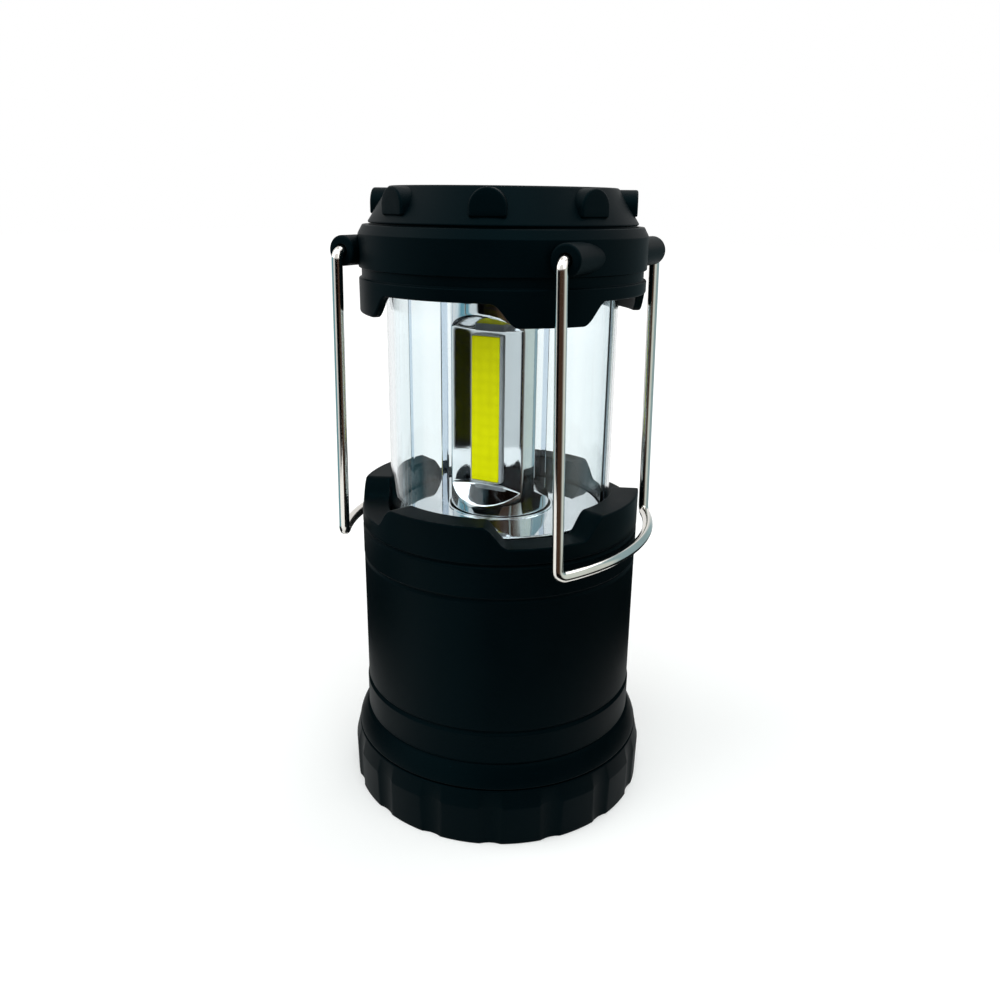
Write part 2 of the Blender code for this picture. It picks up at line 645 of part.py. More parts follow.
def make_switch(carrier, column):
    """Leaf blades in the carrier that meet contact strips on the column's foot when it is up."""
    nose = COLUMN_RADIUS + SEAT
    back = BORE_RADIUS + CHANNEL_WALL + SEAT
    low = CHANNEL_Z + SEAT
    nose_z = COLUMN_BOTTOM_Z + BLADE_NOSE_RISE
    fold = PLATE_THICKNESS
    blade = [
        (back, low),
        (back + fold, low),
        (back + fold, nose_z + BLADE_ARM + fold),
        (nose + fold, nose_z + fold),
        (nose, nose_z),
        (nose + fold * 0.3, nose_z - fold),
        (back, nose_z + BLADE_ARM - fold),
    ]
    slot_width = STRIP_WIDTH + 2 * SEAT
    for index, angle in enumerate(CONTACT_ANGLES, 1):
        turn = Matrix.Rotation(angle, 4, "Z")
        side = turn @ Matrix.Rotation(90 * DEG, 4, "X")
        flat(f"switch_blade_{index}", [blade], -STRIP_WIDTH / 2, STRIP_WIDTH / 2, NICKEL, side)
        wall = rectangle((BORE_RADIUS + back) / 2, 0, CHANNEL_WALL + 3 * CUT, slot_width)
        tool = flat(f"blade_slot_{index}", [wall], nose_z - BLADE_ARM, CARRIER_TOP_Z + CUT, None, turn)
        combine(carrier, tool)
        low_z, high_z = COLUMN_BOTTOM_Z, DECK_TOP_Z + SEAT
        contact = rectangle(COLUMN_RADIUS - CONTACT_INSET, 0, CONTACT_THICKNESS, STRIP_WIDTH)
        flat(f"column_contact_{index}", [contact], low_z, high_z, NICKEL, turn)
        seat_depth = CONTACT_THICKNESS + CONTACT_INSET + 4 * SEAT
        seat = rectangle(COLUMN_RADIUS, 0, seat_depth, slot_width)
        tool = flat(f"contact_seat_{index}", [seat], low_z - CUT, high_z + SEAT, None, turn)
        combine(column, tool)


def make_cells():
    """Three cells, two standing nub up and one nub down, with their plates and springs."""
    nub_z = CELL_LENGTH - CELL_NUB_HEIGHT
    profile = [
        (0, CELL_LENGTH),
        (CELL_NUB_RADIUS, CELL_LENGTH),
        (CELL_NUB_RADIUS, nub_z),
        (CELL_RADIUS - CELL_EDGE, nub_z),
        (CELL_RADIUS, nub_z - CELL_EDGE),
        (CELL_RADIUS, CELL_EDGE),
        (CELL_RADIUS - CELL_EDGE, 0),
        (0, 0),
    ]
    for index, angle in enumerate(CELL_ANGLES, 1):
        cell = turned(f"battery_{index}", profile, CELL_JACKET, SMALL_STEPS, closed=False)
        spot = polar(CELL_RING, angle)
        if index == 2:
            cell.rotation_euler = (math.pi, 0, 0)
            cell.location = (*spot, LOW_CELL_Z + CELL_LENGTH)
        else:
            cell.location = (*spot, HIGH_CELL_Z)
    plate_inner = BORE_RADIUS + CHANNEL_WALL + SEAT
    plate_outer = CARRIER_RADIUS - CHANNEL_WALL - SEAT
    link_inner = RETURN_STRIP_RING + PLATE_THICKNESS / 2 + 2 * SEAT
    top_high = TOP_PLATE_Z + PLATE_THICKNESS
    link_ends = CELL_ANGLES[1] - PLATE_REACH, CELL_ANGLES[2] + PLATE_REACH
    link = sector(link_inner, plate_outer, *link_ends, 14)
    flat("top_link_plate", [link], TOP_PLATE_Z, top_high, NICKEL)
    tab_ends = CELL_ANGLES[0] - PLATE_REACH, CELL_ANGLES[0] + 2 * PLATE_REACH
    tab = sector(plate_inner, plate_outer, *tab_ends, 5)
    flat("top_tab_plate", [tab], TOP_PLATE_Z, top_high, NICKEL)
    spring("carrier_spring", CELL_ANGLES[1], LOW_CELL_Z + CELL_LENGTH + SEAT, point_up=False)


def make_cover():
    """Fluted twist-off foot with bayonet lugs, and the contacts that it carries."""
    stand = COVER_INNER * 0.7
    corners = [
        (0, COVER_FLOOR, 0),
        (COVER_INNER, COVER_FLOOR, 0),
        (COVER_INNER, COVER_HEIGHT, 0),
        (FLARE_RADIUS, COVER_HEIGHT, COVER_EDGE),
        (COVER_RADIUS, COVER_HEIGHT * 0.7, 0),
        (COVER_RADIUS - COVER_DRAFT, 0, FOOT_EDGE),
        (stand, 0, 0),
        (stand - COVER_RECESS, COVER_RECESS, 0),
        (0, COVER_RECESS, 0),
    ]
    profile = rounded(corners, closed=False)
    cover = turned("battery_cover", profile, BLACK_ABS, COVER_STEPS, closed=False)
    half = FLUTE_WIDTH / 2
    flute_radius = (half * half + FLUTE_DEPTH * FLUTE_DEPTH) / (2 * FLUTE_DEPTH)
    ring = COVER_RADIUS - FLUTE_DEPTH + flute_radius
    spots = [polar(ring, FLUTE_PHASE + k * 2 * math.pi / FLUTE_COUNT) for k in range(FLUTE_COUNT)]
    flute_top = COVER_HEIGHT - FLUTE_STOP
    combine(cover, rods("flutes", spots, flute_radius, -CUT, flute_top, FLUTE_STEPS))
    lug_inner = NECK_RADIUS - NECK_WALL / 2
    for index in range(LUG_COUNT):
        middle = index * 2 * math.pi / LUG_COUNT
        outline = sector(
            lug_inner, COVER_INNER + CUT, middle - LUG_HALF_ANGLE, middle + LUG_HALF_ANGLE, 3
        )
        lug = flat(f"lug_{index}", [outline], LUG_Z, LUG_Z + LUG_HEIGHT)
        combine(cover, lug, "UNION")
    plate_high = COVER_PLATE_Z + PLATE_THICKNESS
    half = SPRING_RADIUS + PLATE_MARGIN
    inner, outer = CELL_RING - half, CELL_RING + half
    link = sector(inner, outer, CELL_ANGLES[0] - PLATE_REACH, CELL_ANGLES[1] + PLATE_REACH, 14)
    flat("cover_link_plate", [link], COVER_PLATE_Z, plate_high, NICKEL)
    tab = sector(inner, outer, BETWEEN_ANGLES[1] - PLATE_TAIL, CELL_ANGLES[2] + PLATE_REACH, 8)
    flat("cover_tab_plate", [tab], COVER_PLATE_Z, plate_high, NICKEL)
    spring("cover_spring_1", CELL_ANGLES[0], COVER_SPRING_Z)
    spring("cover_spring_2", CELL_ANGLES[2], COVER_SPRING_Z)


def make_deck():
    """Chromed plate on the carrier, with a raised lip round the column."""
    lip_outer = BORE_RADIUS + DECK_LIP_WIDTH
    lip_edge = DECK_EDGE * 0.8
    corners = [
        (CARRIER_RADIUS, DECK_TOP_Z, DECK_EDGE),
        (CARRIER_RADIUS, DECK_BOTTOM_Z, 0),
        (BORE_RADIUS, DECK_BOTTOM_Z, 0),
        (BORE_RADIUS, DECK_TOP_Z + DECK_LIP, DECK_EDGE),
        (lip_outer, DECK_TOP_Z + DECK_LIP, lip_edge),
        (lip_outer + lip_edge, DECK_TOP_Z, 0),
    ]
    turned("deck_reflector", rounded(corners, steps=1), CHROME, INNER_STEPS)


def make_tube():
    """Clear tube with outside ribs and a stop lip at its lower end."""
    corners = [
        (TUBE_RADIUS, TUBE_TOP_Z),
        (TUBE_RADIUS, TUBE_BOTTOM_Z + LIP_HEIGHT),
        (LIP_RADIUS, TUBE_BOTTOM_Z + LIP_HEIGHT),
        (LIP_RADIUS, TUBE_BOTTOM_Z),
        (TUBE_INNER, TUBE_BOTTOM_Z),
        (TUBE_INNER, TUBE_TOP_Z),
    ]
    tube = turned("clear_tube", corners, CLEAR_PC, INNER_STEPS)
    low, high = TUBE_BOTTOM_Z + LIP_HEIGHT / 2, SOCKET_Z - TUBE_RIB_STOP
    middle = TUBE_RADIUS - TUBE_WALL / 2
    outer = TUBE_RADIUS + TUBE_RIB_HEIGHT
    outline = rectangle((middle + outer) / 2, 0, outer - middle, TUBE_RIB_WIDTH)
    for index, angle in enumerate(RIB_ANGLES):
        turn = Matrix.Rotation(angle, 4, "Z")
        combine(tube, flat(f"tube_rib_{index}", [outline], low, high, None, turn), "UNION")


def make_column():
    """Hollow chromed column with a top flange and three flat troughs with sloping ends."""
    rim_inner = COLUMN_BORE + DRIVER_SEAT_INSET
    rim_outer = rim_inner + DRIVER_SEAT_WIDTH
    rim_z = FLANGE_TOP_Z + DRIVER_SEAT_HEIGHT
    corners = [
        (rim_outer, rim_z),
        (rim_outer, FLANGE_TOP_Z),
        (FLANGE_RADIUS, FLANGE_TOP_Z),
        (FLANGE_RADIUS, FLANGE_Z),
        (COLUMN_RADIUS, FLANGE_Z),
        (COLUMN_RADIUS, COLUMN_BOTTOM_Z),
        (COLUMN_BORE, COLUMN_BOTTOM_Z),
        (COLUMN_BORE, FLANGE_TOP_Z),
        (rim_inner, FLANGE_TOP_Z),
        (rim_inner, rim_z),
    ]
    column = turned("led_column", corners, CHROME, INNER_STEPS)
    land_out = COLUMN_RADIUS * math.cos(TROUGH_HALF_ANGLE)
    land_side = COLUMN_RADIUS * math.sin(TROUGH_HALF_ANGLE)
    back_half = BOARD_WIDTH / 2 + SEAT
    grow = 0.4
    far_out = land_out + (COLUMN_RADIUS - land_out) * (1 + grow)
    far_side = land_side * (1 + grow)
    trough = [
        (TROUGH_BACK, -back_half),
        (land_out, -land_side),
        (land_out + (land_out - TROUGH_BACK) * grow, -far_side),
        (far_out, -far_side),
        (far_out, far_side),
        (land_out + (land_out - TROUGH_BACK) * grow, far_side),
        (land_out, land_side),
        (TROUGH_BACK, back_half),
    ]
    back_length = BOARD_LENGTH + 2 * TROUGH_END_GAP
    for index, angle in enumerate(STRIP_ANGLES, 1):
        tool = flat(f"trough_{index}", [trough], -back_length / 2, back_length / 2)
        for vertex in tool.data.vertices:
            slope = SCOOP_SLOPE * (vertex.co.x - TROUGH_BACK)
            vertex.co.z += math.copysign(slope, vertex.co.z)
        tool.data.transform(Matrix.Translation((0, 0, STRIP_MID_Z)) @ Matrix.Rotation(angle, 4, "Z"))
        combine(column, tool)
        turn = Matrix.Rotation(angle, 4, "Z")
        board_x = TROUGH_BACK + SEAT + BOARD_THICKNESS / 2
        board = rectangle(board_x, 0, BOARD_THICKNESS, BOARD_WIDTH)
        half = BOARD_LENGTH / 2
        flat(f"cob_board_{index}", [board], STRIP_MID_Z - half, STRIP_MID_Z + half, BOARD_WHITE, turn)
        bar_x = board_x + BOARD_THICKNESS / 2 + SEAT + PHOSPHOR_THICKNESS / 2
        bar = rectangle(bar_x, 0, PHOSPHOR_THICKNESS, PHOSPHOR_WIDTH)
        half = PHOSPHOR_LENGTH / 2
        flat(f"cob_phosphor_{index}", [bar], STRIP_MID_Z - half, STRIP_MID_Z + half, PHOSPHOR, turn)
    spots = [polar(POST_RING, angle) for angle in BETWEEN_ANGLES]
    hole_low, hole_high = FLANGE_Z - CUT, FLANGE_TOP_Z + CUT
    combine(column, rods("post_holes", spots, SCREW_HOLE, hole_low, hole_high, SCREW_STEPS))
    counterbore = SCREW_HEAD_HEIGHT + SEAT
    head_hole = SCREW_HEAD_RADIUS + SEAT
    combine(column, rods("post_recesses", spots, head_hole, hole_low, FLANGE_Z + counterbore))
    for index, spot in enumerate(spots, 1):
        screw(f"head_screw_{index}", spot, FLANGE_Z + counterbore - SEAT, SCREW_LENGTH)
    driver_z = rim_z + SEAT
    outline = circle(0, 0, DRIVER_RADIUS)
    wire_hole = circle(0, 0, COLUMN_BORE, SCREW_STEPS)
    flat("driver_board", [outline, wire_hole], driver_z, driver_z + DRIVER_THICKNESS, LAMINATE)
    return column


def make_top_reflector():
    """Chromed dish that rests on the collar's web and reaches down to the column."""
    inner = COLUMN_RADIUS + RUN
    flat_outer = FLANGE_RADIUS + RUN
    cone_outer = TUBE_INNER - 3 * RUN
    rim_outer = TUBE_RADIUS + REFLECTOR_REST
    thick = REFLECTOR_THICKNESS
    corners = [
        (rim_outer, REFLECTOR_RIM_Z + thick),
        (rim_outer, REFLECTOR_RIM_Z),
        (cone_outer, REFLECTOR_RIM_Z),
        (flat_outer + thick / 2, REFLECTOR_FLAT_Z),
        (inner, REFLECTOR_FLAT_Z),
        (inner, REFLECTOR_FLAT_Z + thick),
        (flat_outer, REFLECTOR_FLAT_Z + thick),
        (cone_outer - thick / 2, REFLECTOR_RIM_Z + thick),
    ]
    turned("top_reflector", corners, CHROME, INNER_STEPS)


def make_collar():
    """Ring with a chamfer, a groove, hanging tabs, a tube socket and ears for the handles."""
    groove_low, groove_high = BAND_Z + BAND_HEIGHT, BAND_Z + BAND_HEIGHT + BAND_GROOVE
    groove_floor = COLLAR_RADIUS - GROOVE_DEPTH
    groove_slope = GROOVE_DEPTH * 0.4
    solid = [
        (0, COLLAR_TOP_Z),
        (COLLAR_RADIUS - COLLAR_CHAMFER, COLLAR_TOP_Z),
        (COLLAR_RADIUS, COLLAR_TOP_Z - COLLAR_CHAMFER_HEIGHT),
        (COLLAR_RADIUS, groove_high),
        (groove_floor, groove_high - groove_slope),
        (groove_floor, groove_low + groove_slope),
        (COLLAR_RADIUS, groove_low),
        (COLLAR_RADIUS, TAB_Z),
        (0, TAB_Z),
    ]
    collar = turned("collar", solid, BLACK_ABS, closed=False)
    ear_start = EAR_X * 0.42
    for side in (-1, 1):
        ends = sorted((side * ear_start, side * EAR_END_Y))
        spots = [(EAR_X, EAR_Z), (-EAR_X, EAR_Z)]
        ears = rods(f"ears_{side}", spots, EAR_RADIUS, *ends, steps=16, axis="Y")
        combine(collar, ears, "UNION")
    inside = [
        (COLLAR_BORE, COLLAR_TOP_Z + CUT),
        (COLLAR_BORE, SNAP_Z + SNAP_HALF_HEIGHT),
        (COLLAR_BORE + SNAP_DEPTH, SNAP_Z),
        (COLLAR_BORE, SNAP_Z - SNAP_HALF_HEIGHT),
        (COLLAR_BORE, WEB_TOP_Z),
        (TUBE_INNER - 2 * RUN, WEB_TOP_Z),
        (TUBE_INNER - 2 * RUN, WEB_Z),
        (TUBE_RADIUS + SEAT, WEB_Z),
        (TUBE_RADIUS + SEAT, SOCKET_Z),
        (COLLAR_INNER, SOCKET_Z),
        (COLLAR_INNER, TAB_Z - CUT),
    ]
    axis_ends = [(0, COLLAR_TOP_Z + CUT), *inside, (0, TAB_Z - CUT)]
    combine(collar, turned("collar_inside", axis_ends, closed=False))
    gaps = turned(
        "tab_gaps",
        [
            (COLLAR_RADIUS + CUT, BAND_Z),
            (COLLAR_RADIUS + CUT, TAB_Z - CUT),
            (COLLAR_INNER - CUT, TAB_Z - CUT),
            (COLLAR_INNER - CUT, BAND_Z),
        ],
    )
    tab_half = VALLEY_HALF_WIDTH - TAB_CLEARANCE
    right = flank(tab_half, TAB_Z, tab_half + FLANK_WIDTH, BAND_Z + RUN / 2)
    half = [(right[0][0], TAB_Z - 2 * CUT), *right]
    outline = [*half, *((-x, z) for x, z in reversed(half))]
    for index, angle in enumerate(CORNER_ANGLES):
        inner, outer = COLLAR_INNER / 2, COLLAR_RADIUS + 2 * CUT
        combine(gaps, flat(f"tab_{index}", [outline], inner, outer, None, radial_frame(angle)))
    combine(collar, gaps)
    hole = WIRE_RADIUS + SEAT
    for side in (-1, 1):
        ends = sorted((side * (EAR_END_Y - EAR_HOLE_DEPTH), side * (EAR_END_Y + CUT)))
        spots = [(EAR_X, EAR_Z), (-EAR_X, EAR_Z)]
        combine(collar, rods(f"ear_holes_{side}", spots, hole, *ends, steps=12, axis="Y"))


def make_cap():
    """Conical lid with D-shaped grip bumps, a snap skirt and posts for the head screws."""
    skirt = COLLAR_BORE - SEAT
    skirt_inner = skirt - CAP_WALL
    recess = CAP_TOP_RADIUS - CAP_RECESS_MARGIN
    bead = SNAP_HALF_HEIGHT - SEAT
    corners = [
        (0, CAP_TOP_Z - CAP_RECESS, 0),
        (recess - CAP_RECESS, CAP_TOP_Z - CAP_RECESS, 0),
        (recess, CAP_TOP_Z, 0),
        (CAP_TOP_RADIUS, CAP_TOP_Z, CAP_EDGE),
        (CAP_RADIUS, CAP_BOTTOM_Z, 0),
        (skirt, CAP_BOTTOM_Z, 0),
        (skirt, SNAP_Z + bead, 0),
        (skirt + SNAP_DEPTH, SNAP_Z, 0),
        (skirt, SNAP_Z - bead, 0),
        (skirt, SKIRT_Z, 0),
        (skirt_inner, SKIRT_Z, 0),
        (skirt_inner, CAP_BOTTOM_Z, 0),
        (CAP_TOP_RADIUS - CAP_WALL, CAP_UNDERSIDE_Z, 0),
        (0, CAP_UNDERSIDE_Z, 0),
    ]
    cap = turned("cap", rounded(corners, closed=False), BLACK_ABS, closed=False)
    half = BUMP_WIDTH / 2
    low = CAP_TOP_Z - BUMP_DROP - BUMP_HEIGHT
    arch_z = CAP_TOP_Z - BUMP_DROP - half
    arch = [(half * math.cos(a), arch_z + half * math.sin(a)) for a in
            [k * 22.5 * DEG for k in range(9)]]
    outline = [(half, low), *arch, (-half, low)]
    for index in range(BUMP_COUNT):
        angle = (index + 0.5) * 2 * math.pi / BUMP_COUNT
        inner, outer = CAP_TOP_RADIUS - BUMP_ROOT, CAP_RADIUS - BUMP_REACH
        tool = flat(f"bump_{index}", [outline], inner, outer, None, radial_frame(angle))
        combine(cap, tool, "UNION")
    spots = [polar(POST_RING, angle) for angle in BETWEEN_ANGLES]
    posts = rods("posts", spots, POST_RADIUS, FLANGE_TOP_Z + SEAT, CAP_UNDERSIDE_Z + CUT, 12)
    combine(cap, posts, "UNION")
    hole_top = FLANGE_TOP_Z + SCREW_LENGTH
    combine(cap, rods("post_bores", spots, SCREW_HOLE, FLANGE_TOP_Z - CUT, hole_top, SCREW_STEPS))


def make_handle(name, side):
    """Wire bail that leans out from its ears: two legs and an arc that bows clear of the base."""
    leg_y = EAR_END_Y + SEAT + WIRE_RADIUS
    pin_y = EAR_END_Y - EAR_HOLE_DEPTH + SEAT
    lean_out = HANDLE_DROP * math.sin(HANDLE_LEAN)
    reach = BAND_RADIUS + HANDLE_CLEARANCE + WIRE_RADIUS - EAR_X - lean_out
    arc_radius = (leg_y * leg_y + reach * reach) / (2 * reach)
    half = math.asin(leg_y / arc_radius)
    steps = 14
    arc = []
    for step in range(1, steps):
        angle = half * (2 * step / steps - 1)
        out = reach - arc_radius * (1 - math.cos(angle))
        arc.append((side * out, arc_radius * math.sin(angle), -HANDLE_DROP, 0))
    corners = [
        (0, -pin_y, 0, 0),
        (0, -leg_y, 0, WIRE_BEND),
        (0, -leg_y, -HANDLE_DROP, WIRE_BEND),
        *arc,
        (0, leg_y, -HANDLE_DROP, WIRE_BEND),
        (0, leg_y, 0, WIRE_BEND),
        (0, pin_y, 0, 0),
    ]
    points = rounded(corners, closed=False, steps=4)
    handle = wire(name, points, WIRE_RADIUS, STEEL_WIRE, 2, (side * EAR_X, 0, EAR_Z))
    handle.rotation_euler = (0, -side * HANDLE_LEAN, 0)


def main():
    """Build the base, then what it carries."""
    make_base_housing()
    carrier = make_carrier()
    make_cells()
    make_deck()
    make_cover()
    make_tube()
    column = make_column()
    make_switch(carrier, column)
    make_top_reflector()
    make_collar()
    make_cap()
    make_handle("handle_right", 1)
    make_handle("handle_left", -1)


main()
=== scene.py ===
# %% [markdown]
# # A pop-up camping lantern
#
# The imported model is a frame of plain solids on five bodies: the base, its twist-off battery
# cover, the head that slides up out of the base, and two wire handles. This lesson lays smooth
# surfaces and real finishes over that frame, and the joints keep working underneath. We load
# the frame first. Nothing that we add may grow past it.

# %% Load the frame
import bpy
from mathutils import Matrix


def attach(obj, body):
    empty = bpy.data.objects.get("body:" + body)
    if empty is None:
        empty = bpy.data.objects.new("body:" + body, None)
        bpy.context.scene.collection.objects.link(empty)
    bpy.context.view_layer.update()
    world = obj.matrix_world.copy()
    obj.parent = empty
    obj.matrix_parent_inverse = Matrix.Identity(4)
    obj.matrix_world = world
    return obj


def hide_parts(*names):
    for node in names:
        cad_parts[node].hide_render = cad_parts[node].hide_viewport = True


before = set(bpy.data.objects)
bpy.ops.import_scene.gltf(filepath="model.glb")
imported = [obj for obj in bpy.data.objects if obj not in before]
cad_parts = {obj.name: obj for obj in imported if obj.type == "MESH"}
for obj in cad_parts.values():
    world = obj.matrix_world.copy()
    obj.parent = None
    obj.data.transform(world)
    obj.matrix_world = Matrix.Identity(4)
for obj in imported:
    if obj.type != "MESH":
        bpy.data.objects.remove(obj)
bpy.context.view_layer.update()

# %% [markdown]
# Every new piece is a grid of points that numpy works out at once. One helper turns such grids
# into a mesh: each cell of the grid becomes a four-sided face. Where the grid meets itself, at
# a seam or a pole, the doubled points are merged, and then the faces are turned outwards. Edges
# that fold sharply are marked, so that smooth shading stops there, as it does on a moulding.

# %% Skin a grid of points
import bmesh
import bpy
import numpy as np
from mathutils import Matrix, Vector

MM = 0.001


def skin(name, grids, wrap_u=True, wrap_v=True):
    """Mesh of one or more grids in millimetres: the face at (i, j) joins the points at (i, j),
    (i + 1, j), (i + 1, j + 1) and (i, j + 1), and a wrapped direction runs on to its start."""
    grids = np.asarray(grids, float)
    rows, columns = grids.shape[-3:-1]
    grids = grids.reshape(-1, rows, columns, 3)
    i = np.arange(rows if wrap_u else rows - 1)[:, None]
    j = np.arange(columns if wrap_v else columns - 1)[None, :]
    below, beside = (i + 1) % rows, (j + 1) % columns
    cell = np.stack(np.broadcast_arrays(
        i * columns + j, below * columns + j, below * columns + beside, i * columns + beside), -1)
    first = np.arange(len(grids))[:, None, None] * rows * columns
    faces = (cell.reshape(1, -1, 4) + first).reshape(-1, 4)
    mesh = bpy.data.meshes.new(name)
    mesh.from_pydata((grids.reshape(-1, 3) * MM).tolist(), [], faces.tolist())
    bm = bmesh.new()
    bm.from_mesh(mesh)
    bmesh.ops.remove_doubles(bm, verts=bm.verts, dist=0.002 * MM)
    bmesh.ops.dissolve_degenerate(bm, edges=bm.edges, dist=0.0005 * MM)
    bmesh.ops.recalc_face_normals(bm, faces=bm.faces)
    bm.to_mesh(mesh)
    bm.free()
    mesh.shade_smooth()
    mesh.set_sharp_from_angle(angle=np.radians(32))
    piece = bpy.data.objects.new(name, mesh)
    bpy.context.scene.collection.objects.link(piece)
    return piece


def dress(piece, body, material, slot, *nodes):
    """Put a piece on a body with its finish, in the place of the solids that it stands for."""
    piece.data.materials.append(material)
    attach(piece, body)
    if nodes:
        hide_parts(*nodes)
    size = (np.array(piece.bound_box).max(0) - np.array(piece.bound_box).min(0)) / MM
    print(f"{piece.name}: {len(piece.data.polygons)} faces, {np.round(size, 1)} mm")


# %% [markdown]
# Most of the lantern is turned: one profile of radius and height goes round the axis. Real
# mouldings have no knife edges, so a corner list carries a rounding for each corner, and a
# helper sets an arc there that touches both sides. A Bevel modifier could do that too, but the
# profile keeps the arcs exact and leaves the rest of the surface alone. Smooth shading blends the
# direction of neighbouring faces, so without a close row of points on either side of an arc the
# bend would bleed into the whole wall, and a clear wall would then bend light like a lens.

# %% Rounded profiles, and turning them


def rounded(corners, steps=5, closed=True):
    """Outline through (place..., rounding) corners. At each, an arc of that radius runs from
    one side to the other, found by swinging the first spoke towards the last at even angles.
    A point a little before and after the arc holds the flat walls beside it flat."""
    spots = np.array([corner[:-1] for corner in corners], float)
    parts = []
    for k, (*_, radius) in enumerate(corners):
        here = spots[k]
        if radius == 0 or (not closed and k in (0, len(corners) - 1)):
            parts.append(here[None])
            continue
        back, ahead = spots[k - 1] - here, spots[(k + 1) % len(spots)] - here
        back, ahead = back / np.linalg.norm(back), ahead / np.linalg.norm(ahead)
        half = np.arccos(np.clip(back @ ahead, -1, 1)) / 2
        middle = back + ahead
        centre = here + middle / np.linalg.norm(middle) * radius / np.sin(half)
        start, end = (here + side * radius / np.tan(half) - centre for side in (back, ahead))
        swing, share = np.pi - 2 * half, np.linspace(0, 1, steps)[:, None]
        arc = centre + (np.sin((1 - share) * swing) * start
                        + np.sin(share * swing) * end) / np.sin(swing)
        parts += [arc[:1] + 0.2 * radius * back, arc, arc[-1:] + 0.2 * radius * ahead]
    return np.concatenate(parts)


def around(radius, height, angles):
    """Surface of revolution: x = r cos a, y = r sin a, z = h, where the radius and the height
    may themselves change with the angle (first index) along the profile (second index)."""
    shape = (len(angles), np.shape(radius)[-1])
    radius, height = np.broadcast_to(radius, shape), np.broadcast_to(height, shape)
    return np.stack([np.cos(angles)[:, None] * radius, np.sin(angles)[:, None] * radius, height], -1)


ROUND = np.linspace(0, 2 * np.pi, 480, endpoint=False)
print("angles round the axis:", len(ROUND))

# %% [markdown]
# The finishes come next, because each piece gets one as it is made. Colours are written as
# the sRGB hex values that a paint program shows, and one function turns them to the linear
# numbers that Blender's shaders use. A second small function adds a node with its settings and
# links. Short helpers start a material, make a ramp between two colours, feed the shader and give
# a noise its size, and with those a material is a short list of steps.

# %% Colours, nodes and the start of a material


def linear(hex_code):
    """sRGB hex to linear: c / 12.92 below 0.04045, otherwise ((c + 0.055) / 1.055) ** 2.4."""
    part = np.array([int(hex_code[k:k + 2], 16) for k in (1, 3, 5)]) / 255
    part = np.where(part <= 0.04045, part / 12.92, ((part + 0.055) / 1.055) ** 2.4)
    return (*part.tolist(), 1.0)


def node(tree, kind, inputs=None, **settings):
    """Add a node: settings are its own options, and inputs are values or links by socket."""
    made = tree.nodes.new(kind)
    for key, value in settings.items():
        setattr(made, key, value)
    for key, value in (inputs or {}).items():
        if isinstance(value, bpy.types.NodeSocket):
            tree.links.new(value, made.inputs[key])
        else:
            made.inputs[key].default_value = value
    return made


def start(name, **values):
    """Material with a Principled shader whose plain values are set, and its object place."""
    made = bpy.data.materials.new(name)
    made.use_nodes = True
    shader = made.node_tree.nodes["Principled BSDF"]
    for key, value in values.items():
        shader.inputs[key.replace("_", " ")].default_value = value
    place = node(made.node_tree, "ShaderNodeTexCoord").outputs["Object"]
    return made, made.node_tree, shader, place


def two_tone(tree, amount, first, second):
    """Ramp from the first hex colour to the second as the amount goes from 0 to 1."""
    ramp = node(tree, "ShaderNodeValToRGB", {"Fac": amount})
    for end, colour in zip(ramp.color_ramp.elements, (first, second)):
        end.color = linear(colour)
    return ramp


def feed(tree, shader, **links):
    """Link outputs to the shader's sockets, whose names have _ for each space."""
    for key, output in links.items():
        tree.links.new(output, shader.inputs[key.replace("_", " ")])


def per_mm(size):
    """Noise scale for a pattern of this size in millimetres."""
    return 1 / (size * MM)


print("black in linear light:", np.round(linear("#02090C"), 4))

# %% [markdown]
# Black ABS, moulded in a spark-eroded steel tool. The tool's fine grit leaves a satin skin:
# it is nearly black, a broad soft sheen runs along every bend, and the sheen breaks up a
# little where the skin is duller from handling. The sheen is far weaker than Blender's default
# and slightly blue-green, so that upright walls stay black. The real grit is about 0.05 mm, which
# is far too fine to show, so it is drawn about ten times coarser.

# %% Black ABS, satin moulded
black_abs, tree, shader, place = start(
    "abs_black_satin_moulded", Specular_IOR_Level=0.045, Specular_Tint=linear("#7CC4D6"))
grit = node(tree, "ShaderNodeTexNoise", {"Vector": place, "Scale": per_mm(0.5), "Detail": 2})
cloud = node(tree, "ShaderNodeTexNoise", {"Vector": place, "Scale": per_mm(14), "Detail": 4})
tint = two_tone(tree, cloud.outputs["Fac"], "#000507", "#02090C")
dull = node(tree, "ShaderNodeMapRange", {
    "Value": cloud.outputs["Fac"], "To Min": 0.42, "To Max": 0.56})
bump = node(tree, "ShaderNodeBump", {
    "Height": grit.outputs["Fac"], "Strength": 0.12, "Distance": 0.05 * MM})
feed(tree, shader, Base_Color=tint.outputs["Color"], Roughness=dull.outputs["Result"],
     Normal=bump.outputs["Normal"])
print("made", black_abs.name)

# %% [markdown]
# The base is a turned shell with fine ring grooves, a plain wall between them, and a band that
# flares out over the battery cover. Its rim is castellated: four valleys with S-shaped sides
# take the head's tabs when the lantern is closed. A boolean could cut the valleys, but then
# their edges would be sharp. Here the top of the profile is lowered instead, by an amount that
# changes with the angle, so the rounded rim runs down into each valley and up again.

# %% Base shell with its castellated rim
# Valleys, tabs and ribs are all turned a little, and a tab is as high as a valley is deep.
MOULD_TURN, VALLEY = np.radians(2), 6.0


def wave(angles, start_offset, end_offset, radius):
    """Share from 0 to 1: 0 near the four corner directions, 1 between them, and half a cosine
    wave from one tangential offset to the other. The corners stand 2 degrees past 45."""
    off = np.abs(np.mod(angles - MOULD_TURN, np.pi / 2) - np.pi / 4)
    low, high = np.arcsin(start_offset / radius), np.arcsin(end_offset / radius)
    return (1 - np.cos(np.pi * np.clip((off - low) / (high - low), 0, 1))) / 2


